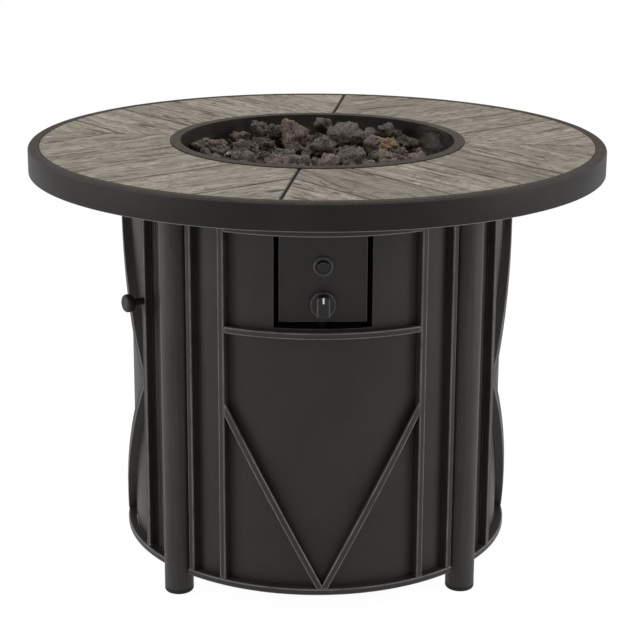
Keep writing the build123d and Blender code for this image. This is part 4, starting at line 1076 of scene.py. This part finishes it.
# Bars and the control plate get brighter edges: painted highlight, with some wear
bar_paint = powder_coat("charcoal_paint_bars", shade(42, 40, 38), shade(50, 47, 45),
                        bright_rub_and_highlight, edge_rub_highlight_share=0.72)
plate_paint = powder_coat("charcoal_paint_plate", *charcoal, shade(128, 125, 119), edge_rub_highlight_share=0.85)
blackened = bare_metal("blackened_brass", shade(30, 27, 22), shade(18, 16, 14), 0.42,
                       (300, 300, 300), 0.6)

# Finishes by the record's material slots
finishes = {
    "charcoal_paint": paint,
    "door_hardware": powder_coat("door_hardware", shade(30, 28, 26), shade(37, 34, 32),
                                 shade(98, 92, 86)),
    "bowl_black": stove_black("bowl_black"),
    "plank_stone": plank_stone("plank_stone"),
    "lava": lava("lava"),
    "lava_bed": lava_grit("lava_bed"),
    "burner_steel": bare_metal("burner_steel", shade(178, 174, 168), shade(128, 118, 106), 0.30),
    "fastener_steel": bare_metal("fastener_steel", shade(172, 172, 174), shade(138, 136, 134),
                                 0.34),
    "valve_brass": bare_metal("valve_brass", shade(206, 172, 104), shade(150, 116, 62), 0.34,
                              (300, 300, 300)),
    "gas_aluminium": bare_metal("gas_aluminium", shade(205, 206, 208), shade(168, 170, 172), 0.36,
                                (90, 90, 90)),
    "copper_lead": bare_metal("copper_lead", shade(198, 132, 94), shade(140, 84, 58), 0.34,
                              (120, 120, 120)),
    "spark_ceramic": moulding("spark_ceramic", shade(226, 223, 212), shade(240, 237, 228), 0.42),
    "lead_rubber": moulding("lead_rubber", shade(30, 30, 30), shade(40, 40, 40), 0.62),
    "knob_plastic": moulding("knob_plastic", shade(15, 15, 15), shade(21, 20, 20), 0.22,
                             highlight_mask=knob_painted_highlight),
    "pointer_white": moulding("pointer_white", shade(232, 231, 227), shade(244, 243, 240), 0.40),
    "igniter_plastic": moulding("igniter_plastic", shade(10, 10, 10), shade(15, 15, 15), 0.20,
                                highlight_mask=bezel_painted_highlight),
    "button_plastic": moulding("button_plastic", shade(10, 10, 10), shade(15, 15, 15), 0.14),
    "battery_case": bare_metal("battery_case", shade(120, 124, 130), shade(92, 96, 102), 0.34,
                               (40, 900, 40), 0.4),
    "catch_plastic": moulding("catch_plastic", shade(74, 70, 66), shade(88, 83, 78), 0.50),
    "foot_rubber": moulding("foot_rubber", shade(26, 25, 24), shade(34, 32, 30), 0.66, 500.0,
                            0.0002),
}

# Pieces that share a finish or an edge rounding
bars = ("front_crossbar", "front_v_bars", "fixed_diamonds", "foot_rails", "head_rails", "uprights",
        "door_stiles", "door_diamond")
legs = ("leg_front_right", "leg_back_right", "leg_back_left", "leg_front_left")
sheets = ("top_pan", "base_plate", "tank_ring", "front_panel", "right_panel", "back_panel",
          "door_jambs", "door_sheet")
small_turnings = ("igniter_nut", "igniter_body", "door_pull", "burner_nut", "leg_bolts",
                  "foot_caps", "valve_inlet", "gas_valve", "jamb_hinge_leaves",
                  "door_hinge_leaves")
remade = ("slab_left", "slab_right", "lava_rocks", "top_rim")
special = {
    "valve_inlet": blackened, "control_plate": plate_paint,
    **dict.fromkeys(bars, bar_paint), **dict.fromkeys(legs, leg_paint),
}
edge_rounds = {
    "burner_bowl": 0.0004, "control_plate": 0.0006, "door_pull": 0.0006,
    "jamb_hinge_leaves": 0.0005, "door_hinge_leaves": 0.0005, "igniter_body": 0.0007,
    "igniter_nut": 0.0009, "gas_valve": 0.0008, "valve_inlet": 0.0005, "burner_nut": 0.0007,
    "magnet_catch": 0.0007, "air_mixer": 0.0004, "leg_bolts": 0.0004, "foot_caps": 0.0004,
    **dict.fromkeys(bars, bar_ease), **dict.fromkeys((*sheets, *legs), sheet_ease),
}

for node, shown in frame["nodes"].items():
    finish = special.get(node, finishes[slot_of[node]])
    if node in edge_rounds:
        shortest = turning_edge if node in small_turnings else hole_edge
        eased(node, edge_rounds[node], finish, shortest)
    elif node not in remade:
        shown.data.materials.clear()
        shown.data.materials.append(finish)

slab("slab_left_planks", "slab_left", -1, finishes["plank_stone"])
slab("slab_right_planks", "slab_right", 1, finishes["plank_stone"])
turned_rim("top_rim_turned", rim_paint)
# A dark strip stands in for the shade in the gap under the door
gap_shade_strip("door_gap_shade_strip", finishes["foot_rubber"])
lumps, chips = settle_rocks()
tree, sockets = lump_tree()
stones("lava_lumps", lumps, lump_fineness, finishes["lava"], tree, sockets, ("lava_rocks",))
stones("lava_chips", chips, chip_fineness, finishes["lava"], tree, sockets)

surround()
floor()
for name, setting in lamps.items():
    lamp(name, *setting)
camera()
bpy.context.scene.view_settings.view_transform = "Standard"
